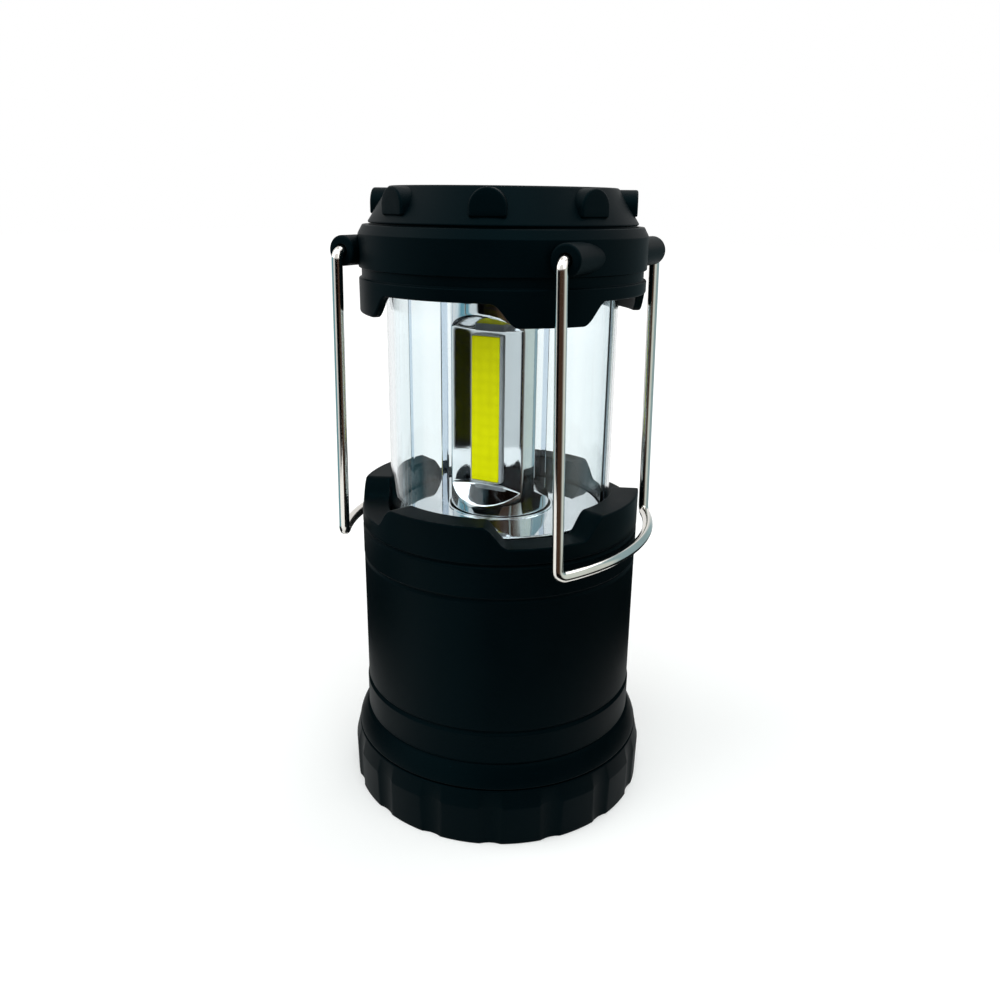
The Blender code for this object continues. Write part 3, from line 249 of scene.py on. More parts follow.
# The flare bends out by 3.1 mm over 6.4 mm, along 72 degrees of a sine.
BEND = np.radians(72)
flare = [(42.3 + 3.1 * np.sin(BEND * share) / np.sin(BEND), 24.4 - 6.4 * share, 0)
         for share in np.linspace(0.08, 1, 12)[:-1]]
base_profile = rounded([
    (42.1, 97.0, 0.5), (42.1, 86.75, 0.4), (41.3, 86.0, 0.2), (42.1, 85.25, 0.4),
    (42.1, 76.8, 0.35), (41.5, 76.0, 0.2), (42.0, 75.2, 0.35), (42.0, 35.5, 0.35),
    (41.5, 34.7, 0.2), (42.3, 33.9, 0.35), (42.3, 24.95, 0.3), (41.8, 24.45, 0.12), *flare,
    (45.4, 18.0, 0.35), (40.6, 18.0, 0), (40.6, 5.5, 0.3), (38.4, 5.5, 0.3), (38.4, 20.0, 0),
    (39.1, 21.0, 0), (39.1, 87.6, 0), (34.2, 87.6, 0.2), (34.2, 97.0, 0.4)])
radius, height = base_profile.T
# A valley's sides run from 10.7 to 17.9 mm off its middle, and all above 95 mm drops in full.
drop = VALLEY * (1 - wave(ROUND, 10.7, 17.9, 42.1))
height = height - drop[:, None] * np.clip((height - 88.0) / 7.0, 0, 1)
base_shell = skin("base_shell", around(radius, height, ROUND))
dress(base_shell, "base", black_abs, "black_abs", "base_housing")

# %% [markdown]
# The battery cover is the lantern's foot. Sixteen shallow flutes run up its side for the
# fingers that twist it off. A flute is a groove cut by a round tool beside the wall, so at each
# angle the wall stands back to the tool's circle where that is nearer the axis. The rounded
# lower edge moves back with it, which gives the foot its scalloped outline.

# %% Fluted battery cover
foot_profile = rounded([
    (0, 2.4, 0), (41.6, 2.4, 0), (41.6, 17.6, 0.2), (45.4, 17.6, 0.4), (46.7, 12.3, 1.5),
    (46.45, 0, 0.4), (29.1, 0, 0.25), (28.5, 0.6, 0.25), (0, 0.6, 0)], closed=False)
# The tool's centre goes round on TOOL_RING. CLEAR is past the wall, where the tool doesn't reach.
FLUTES, TOOL, TOOL_RING, CLEAR = 16, 8.9, 54.7, 99.0
# In degrees, from one flute to the next, and from the middle of a flute to its edge.
PITCH, CUT = 360 / FLUTES, 5.2
flute_angles = np.radians(np.concatenate([np.linspace(-PITCH / 2, -CUT, 7)[:-1],
                                          np.linspace(-CUT, CUT, 29)[:-1],
                                          np.linspace(CUT, PITCH / 2, 7)[:-1]]))
foot_angles = (np.radians(4 + PITCH * np.arange(FLUTES))[:, None] + flute_angles).ravel()
across = np.abs(TOOL_RING * np.sin(flute_angles))
groove = TOOL_RING * np.cos(flute_angles) - np.sqrt(TOOL**2 - np.minimum(across, TOOL)**2)
groove = np.tile(np.where(across < 0.95 * TOOL, groove, CLEAR), FLUTES)[:, None]
radius, height = foot_profile.T
# Only the outer wall moves back, from its own radius at each height to the groove.
wall = np.interp(height, [0, 12.3, 17.6], [46.45, 46.7, 45.4])
radius = radius - np.where(radius > 44.0, np.maximum(wall - groove, 0), 0)
foot = skin("foot_cover", around(radius, height, foot_angles), wrap_v=False)
dress(foot, "battery_cover", black_abs, "black_abs", "battery_cover")

# %% [markdown]
# The collar is the head's outer ring. It has a chamfered top edge, a narrow ring groove above a
# band, and four tabs that hang down to meet the valleys of the base. The tabs use the same
# wave as the valleys, turned the other way: the lower edge is lifted between the tabs.

# %% Collar with its tabs
collar_profile = rounded([
    (39.4, 172.6, 0.35), (40.7, 170.2, 0.5), (40.7, 161.35, 0.25), (39.9, 161.05, 0.15),
    (39.9, 158.65, 0.15), (40.7, 158.35, 0.3), (40.7, 149.0, 0.6), (38.3, 149.0, 0.5),
    (38.3, 156.5, 0.2), (33.6, 156.5, 0.2), (33.6, 160.3, 0), (30.7, 160.3, 0),
    (30.7, 162.3, 0), (37.5, 162.3, 0), (37.5, 172.6, 0.2)])
radius, height = collar_profile.T
# A tab's sides run from 8.7 to 15.9 mm off its middle, and all below 150.4 mm lifts in full.
lift = VALLEY * wave(ROUND, 8.7, 15.9, 40.7)
height = height + lift[:, None] * np.clip((156.3 - height) / 5.9, 0, 1)
collar = skin("collar_ring", around(radius, height, ROUND))
dress(collar, "head", black_abs, "black_abs", "collar")

# %% [markdown]
# Four ear bosses stand out of the collar, each a round stub along Y with a blind hole for the
# end of a handle wire. A stub begins inside the collar's wall, so its first ring of points is
# set on a cylinder of 39 mm about the axis, and the rest of the profile runs out to the face.

# %% Ear bosses
EAR_OUT, EAR_HEIGHT, EAR_ROOT = 33.6, 165.7, 39.0


def ear(x, way):
    """Stub about a line along Y at (x, EAR_HEIGHT): rings of points that start on the cylinder
    inside the collar's wall and run out to the end face, closed at both ends by a point."""
    turn = np.linspace(0, 2 * np.pi, 49)[:-1]
    face = rounded([(0, 0, 0), (4.1, 0, 0), (4.1, 30.6, 0.6), (1.85, 30.6, 0.25), (1.85, 24.6, 0),
                    (0, 24.6, 0)], closed=False)
    ring, out = face[:, 0], face[:, 1]
    px = x + np.cos(turn)[:, None] * ring
    pz = EAR_HEIGHT + np.sin(turn)[:, None] * ring
    wall = np.sqrt(EAR_ROOT**2 - px**2)
    return np.stack([px, way * np.where(out > 1, out, wall), pz], -1)


ears = skin("ear_bosses", [ear(x, way) for x in (EAR_OUT, -EAR_OUT) for way in (1, -1)],
            wrap_v=False)
dress(ears, "head", black_abs, "black_abs")

# %% [markdown]
# The cap is a flat cone with a shallow dished top. Eight D-shaped bumps round it give the hand
# something to pull up by. Each bump is a plaque: an outline is carried outwards from inside the
# cone's wall, and drawn in a little at the front so that its edge is rounded.

# %% Cap and grip bumps
cap_profile = rounded([
    (0, 181.9, 0), (27.9, 181.9, 0.6), (28.9, 182.7, 0.5), (31.8, 182.7, 1.0), (38.1, 173.0, 0.4),
    (37.2, 173.0, 0), (37.2, 164.2, 0.2), (35.0, 164.2, 0.2), (35.0, 173.0, 0),
    (29.6, 179.7, 0), (0, 179.7, 0)], closed=False)
cap = skin("cap_cone", around(*cap_profile.T, ROUND), wrap_v=False)
dress(cap, "head", black_abs, "black_abs", "cap")


def plaque(outline, centre, depths, insets, angle):
    """Pad that stands out radially: ring k is the outline of (across, height) points drawn in
    towards the centre by the share insets[k], at the distance depths[k] from the axis."""
    inset = np.asarray(insets)[:, None]
    across = centre[0] + (outline[:, 0] - centre[0]) * (1 - inset)
    height = centre[1] + (outline[:, 1] - centre[1]) * (1 - inset)
    out = np.stack([np.broadcast_to(d, len(outline)) for d in depths])
    x = out * np.cos(angle) - across * np.sin(angle)
    y = out * np.sin(angle) + across * np.cos(angle)
    return np.stack([x, y, height], -1)


# The outline is a half round of radius ARCH above the height SPRING, and straight down to SILL.
ARCH, SPRING, SILL = 4.75, 177.55, 175.3
# The face of a bump is FRONT from the axis, and its edge is rounded over the last EDGE.
FRONT, EDGE = 37.1, 0.6
arch = np.linspace(0, np.pi, 33)[:, None]
bump_outline = np.concatenate([
    np.hstack([ARCH * np.cos(arch), SPRING + ARCH * np.sin(arch)]),
    rounded([(-ARCH, SPRING, 0), (-ARCH, SILL, 0.5), (ARCH, SILL, 0.5), (ARCH, SPRING, 0)],
            closed=False)[1:-1]])
# The cone loses 6.3 mm of radius over 9.7 mm of height, and a bump starts 1.2 mm inside it.
inside_cone = 38.1 - (bump_outline[:, 1] - 173.0) * 6.3 / 9.7 - 1.2
soft = np.linspace(0, np.pi / 2, 6)
bump_depths = [inside_cone, inside_cone, FRONT - EDGE - 0.1,
               *(FRONT - EDGE * (1 - np.sin(soft))), FRONT, FRONT]
bump_insets = [1.0, 0.0, 0.0, *(0.13 * (1 - np.cos(soft))), 0.5, 1.0]
bumps = skin("grip_bumps", [
    plaque(bump_outline, (0, 178.3), bump_depths, bump_insets, np.radians(22.5 + 45 * k))
    for k in range(8)], wrap_u=False)
dress(bumps, "head", black_abs, "black_abs")

# %% [markdown]
# Clear polycarbonate, moulded in a polished tool. Light goes straight through it and bends at
# its walls, so ribs and edges draw bright and dark lines. Sliding in and out of the base leaves
# hair-fine marks along the height, drawn as a stretched noise that barely moves the surface.
# At the ribs and the lip, past the plain wall, the distance from the axis picks a bluer tint: a
# painted reflection of the pale blue band that the ribs show. The real index of refraction is
# 1.585. It is 1.36 here, because the photograph shows much fainter reflections on the wall than
# the real value gives.

# %% Clear polycarbonate
# The wall's outer radius, then half the width, the rise and the eased side of a rib.
TUBE, RIB_HALF, RIB_RISE, RIB_EASE = 33.3, 1.2, 0.3, 0.55
clear_pc, tree, shader, place = start(
    "polycarbonate_clear_moulded", IOR=1.36, Transmission_Weight=1.0, Roughness=0.0)
stretch = node(tree, "ShaderNodeMapping", {"Vector": place, "Scale": (1.0, 1.0, 0.03)})
slide = node(tree, "ShaderNodeTexNoise", {
    "Vector": stretch.outputs["Vector"], "Scale": per_mm(2.5), "Detail": 3})
bump = node(tree, "ShaderNodeBump", {
    "Height": slide.outputs["Fac"], "Strength": 0.05, "Distance": 0.02 * MM})
tint = two_tone(tree, slide.outputs["Fac"], "#ECF2F4", "#F5F9FA")
flat = node(tree, "ShaderNodeVectorMath", {0: place, 1: (1, 1, 0)}, operation="MULTIPLY")
reach = node(tree, "ShaderNodeVectorMath", {0: flat.outputs[0]}, operation="LENGTH")
# Painted reflection: outside the plain wall, on the ribs and the lip, the colour turns bluer.
rib_and_lip = node(tree, "ShaderNodeMapRange", {
    "Value": reach.outputs["Value"], "From Min": (TUBE + 0.02) * MM, "From Max": (TUBE + 0.2) * MM})
# Sockets 6 and 7 of a Mix node are its two colours, and output 2 is their mixture.
painted_rib_reflection = node(tree, "ShaderNodeMix", {
    0: rib_and_lip.outputs["Result"], 6: tint.outputs["Color"], 7: linear("#A3B6CC")}, data_type="RGBA")
feed(tree, shader, Base_Color=painted_rib_reflection.outputs[2], Normal=bump.outputs["Normal"])
print("made", clear_pc.name)

# %% [markdown]
# The tube is a plain wall of 1.8 mm with four ribs that guide it in the base, and a lip at its
# lower end that stops it from coming out. The ribs are part of the same surface: at their
# angles the outer radius swells by 0.3 mm, flat on top with eased sides, so that each rib shows
# as a clear band between two thin lines. The tube casts no shadow, because clear plastic lets
# the light in, while a ray tracer would take it for a dark wall.

# %% Clear tube with guide ribs
# A rib's own angles crowd towards its two edges, where its sides are.
rib = RIB_HALF * np.sin(np.linspace(-np.pi / 2, np.pi / 2, 33)) / TUBE
wall = np.linspace(rib[-1], np.pi / 2 + rib[0], 80)[1:-1]
quarters = MOULD_TURN + np.arange(4)[:, None] * np.pi / 2
tube_angles = (quarters + np.concatenate([rib, wall])).ravel()
tube_profile = rounded([
    (TUBE, 160.0, 0.2), (TUBE, 155.8, 0), (TUBE, 155.2, 0), (TUBE, 87.3, 0), (35.4, 87.3, 0.2),
    (35.4, 84.0, 0.2), (31.5, 84.0, 0.2), (31.5, 160.0, 0.2)])
radius, height = tube_profile.T
off = np.abs(np.mod(tube_angles - MOULD_TURN + np.pi / 4, np.pi / 2) - np.pi / 4) * TUBE
ease = np.clip((RIB_HALF - off) / RIB_EASE, 0, 1)
proud = (RIB_RISE * ease**2 * (3 - 2 * ease))[:, None]
on_rib = (np.abs(radius - TUBE) < 0.01) & (height < 155.5)
tube = skin("clear_tube_wall", around(radius + proud * on_rib, height, tube_angles))
dress(tube, "head", clear_pc, "clear_polycarbonate", "clear_tube")
tube.visible_shadow = False

# %% [markdown]
# Chromed ABS: the moulding is plated with copper, nickel and a skin of chrome, and it mirrors
# everything round it. The plating follows each ripple of the moulding, so reflections bend a
# little: the ripples are some 8 mm long and very shallow, and the roughness stays low. A
# fine orange peel of half a millimetre breaks up the edges of what is mirrored.

# %% Chromed ABS
chrome, tree, shader, place = start("abs_chrome_plated", Metallic=1.0)
ripple = node(tree, "ShaderNodeTexNoise", {"Vector": place, "Scale": per_mm(8), "Detail": 2})
bump = node(tree, "ShaderNodeBump", {
    "Height": ripple.outputs["Fac"], "Strength": 0.25, "Distance": 0.12 * MM})
grain = node(tree, "ShaderNodeTexNoise", {"Vector": place, "Scale": per_mm(0.5), "Detail": 1})
peel = node(tree, "ShaderNodeBump", {
    "Height": grain.outputs["Fac"], "Normal": bump.outputs["Normal"],
    "Strength": 0.4, "Distance": 0.01 * MM})
haze = node(tree, "ShaderNodeMapRange", {
    "Value": ripple.outputs["Fac"], "To Min": 0.02, "To Max": 0.07})
tint = two_tone(tree, ripple.outputs["Fac"], "#DDE0E3", "#ECEEF0")
feed(tree, shader, Base_Color=tint.outputs["Color"], Roughness=haze.outputs["Result"],
     Normal=peel.outputs["Normal"])
print("made", chrome.name)

# %% [markdown]
# The column in the middle carries the three light strips. Each sits in a flat trough with
# slightly winged sides, and both ends of a trough slope out like a scoop. Seen from the axis
# the surface has one radius at each angle and height: the greater of trough and scoop, but no
# more than the round column. A soft minimum, which blends two surfaces over a third of a
# millimetre, rounds the edges so that they catch a line of light. The rows of the grid follow
# the folds, because a mirror shows every facet that crosses one.

# %% LED column


def soft_least(a, b, blend=0.35):
    """Smooth minimum: (a + b - sqrt((a - b)^2 + k^2)) / 2, which rounds the fold by about k/2."""
    return (a + b - np.sqrt((a - b) ** 2 + blend**2)) / 2


def bunch(first, last, count):
    """Values from first to last that crowd towards both ends, as (1 - cos(pi s)) / 2 does. Where
    first and last are arrays, each row of the result is one step between them."""
    share = (1 - np.cos(np.pi * np.linspace(0, 1, count))) / 2
    return first + (last - first) * share.reshape(-1, *[1] * np.ndim(last))


# How far a trough's flat back is from the axis, half the back's width, the radius of the column,
# and the angle at which a wing meets it. Each trough owns 60 degrees to either side.
BACK, BACK_HALF, COLUMN, LAND = 8.6, 5.3, 15.0, np.radians(50.8)
STRIPS = np.radians([-88.8, 31.2, 151.2])
LOW_END, HIGH_END, SLOPE = 98.55, 144.25, 0.77
FOOT_END, TOP_END = 80.0, 157.6
wing_out, wing_side = COLUMN * np.cos(LAND), COLUMN * np.sin(LAND)
back_edge = np.arctan2(BACK_HALF, BACK)
half_turn = np.concatenate([bunch(0, back_edge, 9)[:-1], bunch(back_edge, LAND, 12)[:-1],
                            bunch(LAND, np.radians(60), 8)])
phi = np.concatenate([-half_turn[:0:-1], half_turn[:-1]])
side = np.abs(phi)
# A wing is a straight line from the edge of the back to the round, as a radius at each angle.
d_out, d_side = wing_out - BACK, wing_side - BACK_HALF
wing = (BACK * d_side - BACK_HALF * d_out) / (np.cos(side) * d_side - np.sin(side) * d_out)
trough = -soft_least(-BACK / np.cos(side), -wing)
# A scoop leaves the trough at the crease and meets the round at the mouth, in height from the end.
fold_side = np.minimum(side, LAND)
crease = SLOPE * (np.minimum(trough, COLUMN) * np.cos(fold_side) - BACK)
mouth = SLOPE * (COLUMN * np.cos(fold_side) - BACK)
height = np.concatenate([
    bunch(FOOT_END, LOW_END - mouth, 6)[:-1],
    bunch(LOW_END - mouth, LOW_END - crease, 14)[:-1],
    bunch(LOW_END - crease, HIGH_END + crease, 22)[:-1],
    bunch(HIGH_END + crease, HIGH_END + mouth, 14)[:-1],
    bunch(HIGH_END + mouth, np.full_like(mouth, TOP_END), 6)]).T
scoop = (BACK + np.maximum(LOW_END - height, height - HIGH_END) / SLOPE) / np.cos(side)[:, None]
radius = soft_least(COLUMN, -soft_least(-trough[:, None], -scoop))
flange = np.array([
    (22.0, 157.7), (22.0, 160.3), (5.0, 160.3), (5.0, FOOT_END), (14.9, FOOT_END)])
radius = np.hstack([radius, np.tile(flange[:, 0], (len(phi), 1))])
height = np.hstack([height, np.tile(flange[:, 1], (len(phi), 1))])
turns = (STRIPS[:, None] + phi).ravel()
column = skin("column_mirror", around(np.tile(radius, (3, 1)), np.tile(height, (3, 1)), turns))
dress(column, "head", chrome, "chromed_abs", "led_column")

# %% [markdown]
# Two more mirrors close the light space: a deck on the base round the foot of the column, and a
# dish under the collar. Both are turned. The dish has a flat ring and a cone that throws the
# light outwards, and the deck has a small raised lip.

# %% Deck and dish
deck_profile = rounded([
    (31.1, 90.6, 0.5), (31.1, 88.8, 0), (15.6, 88.8, 0), (15.6, 91.0, 0.15), (16.2, 91.0, 0.15),
    (16.4, 90.6, 0.15)])
deck = skin("deck_mirror", around(*deck_profile.T, ROUND[::2]))
dress(deck, "base", chrome, "chromed_abs", "deck_reflector")
dish_profile = rounded([
    (34.6, 163.8, 0.2), (34.6, 162.6, 0.2), (30.3, 162.6, 0.4), (23.0, 156.2, 1.2),
    (15.4, 156.2, 0.3), (15.4, 157.4, 0), (22.4, 157.4, 0), (29.7, 163.8, 0)])
dish = skin("dish_mirror", around(*dish_profile.T, ROUND[::2]))
dress(dish, "head", chrome, "chromed_abs", "top_reflector")

# %% [markdown]
# Phosphor silicone: the bar of each light strip is a row of small blue LED dies under a bead of
# silicone with yellow phosphor powder in it. Unlit, it is a dull lemon yellow. Over each die
# the bead is a touch thinner and paler, and the powder makes it slightly mottled.

# %% Phosphor silicone and the board under it
phosphor, tree, shader, place = start(
    "silicone_phosphor_cast", Roughness=0.42, IOR=1.41, Specular_IOR_Level=0.08)
mottle = node(tree, "ShaderNodeTexNoise", {"Vector": place, "Scale": per_mm(3.5), "Detail": 5})
dies = node(tree, "ShaderNodeTexVoronoi", {
    "Vector": place, "Scale": per_mm(3.2), "Randomness": 0.15})
blend = node(tree, "ShaderNodeMath", {0: mottle.outputs["Fac"], 1: dies.outputs["Distance"]},
             operation="MULTIPLY")
tint = two_tone(tree, blend.outputs["Value"], "#F6F402", "#E8E600")
tint.color_ramp.elements[1].position = 0.4
bump = node(tree, "ShaderNodeBump", {
    "Height": mottle.outputs["Fac"], "Strength": 0.2, "Distance": 0.1 * MM})
feed(tree, shader, Base_Color=tint.outputs["Color"], Normal=bump.outputs["Normal"])

# White lacquer over an aluminium core: a pale, slightly blue edge round the yellow.
board_white, tree, shader, place = start("aluminium_board_white_lacquer", Roughness=0.35)
speck = node(tree, "ShaderNodeTexNoise", {"Vector": place, "Scale": per_mm(1.2), "Detail": 3})
tint = two_tone(tree, speck.outputs["Fac"], "#B8BCBE", "#D0D3D4")
feed(tree, shader, Base_Color=tint.outputs["Color"])
print("made", phosphor.name, "and", board_white.name)

# %% [markdown]
# A light strip is a thin board with a raised dam round its edge, and the cast bar inside the dam.
# Both are slabs: rounded rectangles, one for each step of the section, each drawn in by its
# own inset. The last ring of a slab shrinks to a line, which closes the front or the floor.

# %% Three light strips
STRIP_MIDDLE = (LOW_END + HIGH_END) / 2


def slab(width, length, corner, section, angle):
    """Slab about STRIP_MIDDLE: ring k of the section is at the distance depth[k] from the axis,
    and its outline has corner arcs of radius c about (+-(w/2 - inset - c), +-(l/2 - inset - c))."""
    depth, inset = np.array(section).T[..., None]
    across, along = np.maximum(width / 2 - inset, 0), length / 2 - inset
    arc = np.minimum(corner, across)
    turn = np.radians(np.concatenate([np.linspace(0, 90, 5) + 90 * k for k in range(4)]))
    sign_x, sign_z = np.repeat([1, -1, -1, 1], 5), np.repeat([1, 1, -1, -1], 5)
    side = sign_x * (across - arc) + arc * np.cos(turn)
    height = STRIP_MIDDLE + sign_z * (along - arc) + arc * np.sin(turn)
    return np.stack([depth * np.cos(angle) - side * np.sin(angle),
                     depth * np.sin(angle) + side * np.cos(angle), height], -1)


# Each step is a distance from the axis and an inset from the outline.
tray = [(8.6, 4.9), (8.6, 0), (9.9, 0.12), (10.05, 0.15), (10.1, 0.2), (10.05, 0.25),
        (9.9, 0.28), (9.2, 0.3), (9.2, 4.9)]
bead = [(9.3, 4.5), (9.3, 0), *zip(9.85 + 0.2 * np.sin(soft), 0.3 * (1 - np.cos(soft))),
        (10.05, 4.5)]
for k, angle in enumerate(STRIPS, 1):
    board = skin(f"strip_board_{k}", slab(9.8, 43.6, 0.4, tray, angle), wrap_u=False)
    dress(board, "head", board_white, "aluminium_board", f"cob_board_{k}")
    bar = skin(f"strip_phosphor_{k}", slab(9.0, 42.6, 0.5, bead, angle), wrap_u=False)
    dress(bar, "head", phosphor, "phosphor_silicone", f"cob_phosphor_{k}")

# %% [markdown]
# Nickel-plated steel wire, drawn through a die and then bent. Drawing leaves a bright skin with
# faint lines along the wire, and the plating makes it a warm mirror. The wire's own direction
# changes along the bail, so the lines follow a map of the surface: its first number runs along
# the wire, the second round it.

# %% Plated steel wire
steel_wire, tree, shader, place = start("steel_wire_drawn_plated", Metallic=1.0)
along = node(tree, "ShaderNodeUVMap", uv_map="wire").outputs["UV"]
drawn = node(tree, "ShaderNodeMapping", {"Vector": along, "Scale": (0.06, 1.0, 1.0)})
lines = node(tree, "ShaderNodeTexNoise", {
    "Vector": drawn.outputs["Vector"], "Scale": per_mm(0.9), "Detail": 3})
blotch = node(tree, "ShaderNodeTexNoise", {"Vector": place, "Scale": per_mm(9), "Detail": 3})
tint = two_tone(tree, blotch.outputs["Fac"], "#C9C4BD", "#E2DFDA")
bright = node(tree, "ShaderNodeMapRange", {
    "Value": lines.outputs["Fac"], "To Min": 0.08, "To Max": 0.2})
bump = node(tree, "ShaderNodeBump", {
    "Height": lines.outputs["Fac"], "Strength": 0.15, "Distance": 0.02 * MM})
feed(tree, shader, Base_Color=tint.outputs["Color"], Roughness=bright.outputs["Result"],
     Normal=bump.outputs["Normal"])
print("made", steel_wire.name)

# %% [markdown]
# Each handle is one length of wire: two short pins that turn in the ears, two legs, and an arc
# that bows out round the base. The hanging handle leans a little outwards. It is a circle
# carried along a path. The path never runs along X, so X gives each ring of points a steady
# side direction without any twisting.

# %% Wire handles
WIRE, WIRE_END = 1.55, 1.2


def bail(name, way):
    """Round wire of radius WIRE along a rounded path: at each place, the ring is WIRE times
    side cos a + lift sin a, where side is across path and X, and lift is across path and side."""
    leg, drop, reach, bend, pin = 32.45, 81.35, 9.45, 2.4, 24.9
    lean = np.radians(1.2)
    bow = (leg**2 + reach**2) / (2 * reach)
    swing = np.arcsin(leg / bow) * np.linspace(-1, 1, 73)[5:-5]
    # The last number of each point of the path is its rounding.
    still = np.zeros(len(swing))
    out = reach - bow * (1 - np.cos(swing))
    arc = np.stack([out, bow * np.sin(swing), still - drop, still], -1)
    path = rounded([
        (0, -pin, 0, 0), (0, -leg, 0, bend), (0, -leg, -drop, bend), *arc, (0, leg, -drop, bend),
        (0, leg, 0, bend), (0, pin, 0, 0)], steps=11, closed=False)
    x, y, z = path.T
    path = np.stack([way * (EAR_OUT + x * np.cos(lean) - z * np.sin(lean)), y,
                     EAR_HEIGHT + z * np.cos(lean) + x * np.sin(lean)], -1)
    ahead = np.gradient(path, axis=0)
    ahead /= np.linalg.norm(ahead, axis=1)[:, None]
    side = np.cross(ahead, (1.0, 0, 0))
    side /= np.linalg.norm(side, axis=1)[:, None]
    lift = np.cross(side, ahead)
    # Each end narrows a little and then closes in a point.
    wire = np.full(len(path), WIRE)
    wire[[0, -1]] = WIRE_END
    path = np.concatenate([path[:1], path, path[-1:]])
    side, lift = (np.concatenate([v[:1], v, v[-1:]]) for v in (side, lift))
    wire = np.concatenate([[0], wire, [0]])[:, None, None]
    turn = np.linspace(0, 2 * np.pi, 25)[:-1, None]
    rings = path[:, None] + wire * (np.cos(turn) * side[:, None] + np.sin(turn) * lift[:, None])
    made = skin(name, rings, wrap_u=False)
    # The map gives each corner of a face its length along the wire and its length round it.
    spots = np.empty(len(made.data.vertices) * 3)
    made.data.vertices.foreach_get("co", spots)
    run = np.cumsum(np.r_[0, np.linalg.norm(np.diff(path, axis=0), axis=1)])
    nearest = np.abs(spots.reshape(-1, 1, 3) / MM - path[None]).sum(-1).argmin(1)
    corner = np.empty(len(made.data.loops), int)
    made.data.loops.foreach_get("vertex_index", corner)
    near = nearest[corner]
    spoke = spots.reshape(-1, 3)[corner] / MM - path[near]
    round_it = np.arctan2((spoke * lift[near]).sum(1), (spoke * side[near]).sum(1)) * WIRE
    uv = made.data.uv_layers.new(name="wire")
    uv.data.foreach_set("uv", (np.stack([run[near], round_it], -1) * MM).ravel())
    return made


for name, way in (("right", 1), ("left", -1)):
    handle = bail(f"wire_bail_{name}", way)
    dress(handle, f"handle_{name}", steel_wire, "plated_steel_wire", f"handle_{name}")

# %% [markdown]
# What stays inside the lantern keeps its solids and gets honest finishes: nickel strip for the
# contacts and springs, zinc-plated screws, printed film round the cells, grey ABS for the
# carrier and green glass laminate for the driver board. Each has the fine variation of its
# making, as one noise whose size is given in millimetres.

# %% Finishes of the inner pieces


def inner(name, dark, light, size, rough, stretch, metal):
    """Finish whose colour and roughness follow one noise of a real size in millimetres."""
    made, tree, shader, place = start(name, Metallic=metal)
    run = node(tree, "ShaderNodeMapping", {"Vector": place, "Scale": stretch})
    grain = node(tree, "ShaderNodeTexNoise", {
        "Vector": run.outputs["Vector"], "Scale": per_mm(size), "Detail": 4})
    tint = two_tone(tree, grain.outputs["Fac"], dark, light)
    dull = node(tree, "ShaderNodeMapRange", {
        "Value": grain.outputs["Fac"], "To Min": rough[0], "To Max": rough[1]})
    bump = node(tree, "ShaderNodeBump", {
        "Height": grain.outputs["Fac"], "Strength": 0.15, "Distance": 0.03 * MM})
    feed(tree, shader, Base_Color=tint.outputs["Color"], Roughness=dull.outputs["Result"],
         Normal=bump.outputs["Normal"])
    return made


# Rolled strip shows fine lines one way, zinc is cloudy, film has soft streaks along the cell,
# and moulded grey and laminate are finely speckled.
# Each row ends with the words by which a node's name asks for the finish; the first match wins.
EVEN, ROLLED, WRAPPED = (1, 1, 1), (1, 0.1, 0.1), (1, 1, 0.05)
inner_rows = [
    ("nickel_strip_rolled", "#A8A08F", "#C9C2B3", 1.0, (0.2, 0.35), ROLLED, 1.0,
     ("plate", "spring", "blade", "contact", "return_strip")),
    ("steel_screw_zinc_plated", "#8E9092", "#B9BBBC", 1.5, (0.3, 0.45), EVEN, 1.0, ("screw",)),
    ("cell_film_printed", "#3A4A52", "#56676F", 6.0, (0.3, 0.4), WRAPPED, 0.0,
     ("battery_1", "battery_2", "battery_3")),
    ("abs_grey_moulded", "#3C3E41", "#4A4D50", 0.6, (0.45, 0.55), EVEN, 0.0, ("carrier",)),
    ("glass_laminate_green", "#0E4A22", "#1B6433", 0.8, (0.35, 0.5), EVEN, 0.0, ("driver",)),
]
inner_finishes = [(inner(*row), words) for *row, words in inner_rows]
replaced = {"base_housing", "battery_cover", "collar", "cap", "clear_tube", "led_column",
            "deck_reflector", "top_reflector", "handle_right", "handle_left"}
for name, solid in sorted(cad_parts.items()):
    if name in replaced or name.startswith("cob_"):
        continue
    finish = next(made for made, words in inner_finishes if any(w in name for w in words))
    solid.data.materials.clear()
    solid.data.materials.append(finish)
print("inner finishes:", [made.name for made, words in inner_finishes])

# %% [markdown]
# The camera stands where the photographer stood: a little to the right of the front, some 26 cm
# away and looking down at about 18 degrees. Its direction is built from three unit vectors, and
# the frame is square, so the lens is given for a 36 mm sensor across the full width.

# %% Camera
yaw, pitch, roll = np.radians([28.62, 18.43, 0.70])
level = np.array([-np.sin(yaw), np.cos(yaw), 0])
aside = np.array([level[1], -level[0], 0])
upright = np.array([0, 0, 1.0])
ahead = level * np.cos(pitch) - upright * np.sin(pitch)
top = level * np.sin(pitch) + upright * np.cos(pitch)
right = np.cos(roll) * aside + np.sin(roll) * top
top = np.cos(roll) * top - np.sin(roll) * aside
eye = bpy.data.cameras.new("photo_camera")
eye.lens = 32.32
eye.sensor_width = 36.0
eye.clip_start = 0.01
camera = bpy.data.objects.new("photo_camera", eye)
columns = np.column_stack([right, top, -ahead, (0.12653, -0.23188, 0.17907)])
camera.matrix_world = Matrix([*columns.tolist(), (0, 0, 0, 1)])
bpy.context.scene.collection.objects.link(camera)
bpy.context.scene.camera = camera
print("camera at", np.round(camera.location, 3))

# %% [markdown]
# A white studio: a large soft lamp high on the left, two overhead, a weak one on the right, and
# white surroundings. For the camera, and for rays that are mirrored or go through glass, the
# surroundings are pure white; the light that they send onto the lantern is weaker.

# %% Lamps and surroundings
MIDDLE, WHITE = Vector((0, 0, 0.1)), (1, 1, 1, 1)


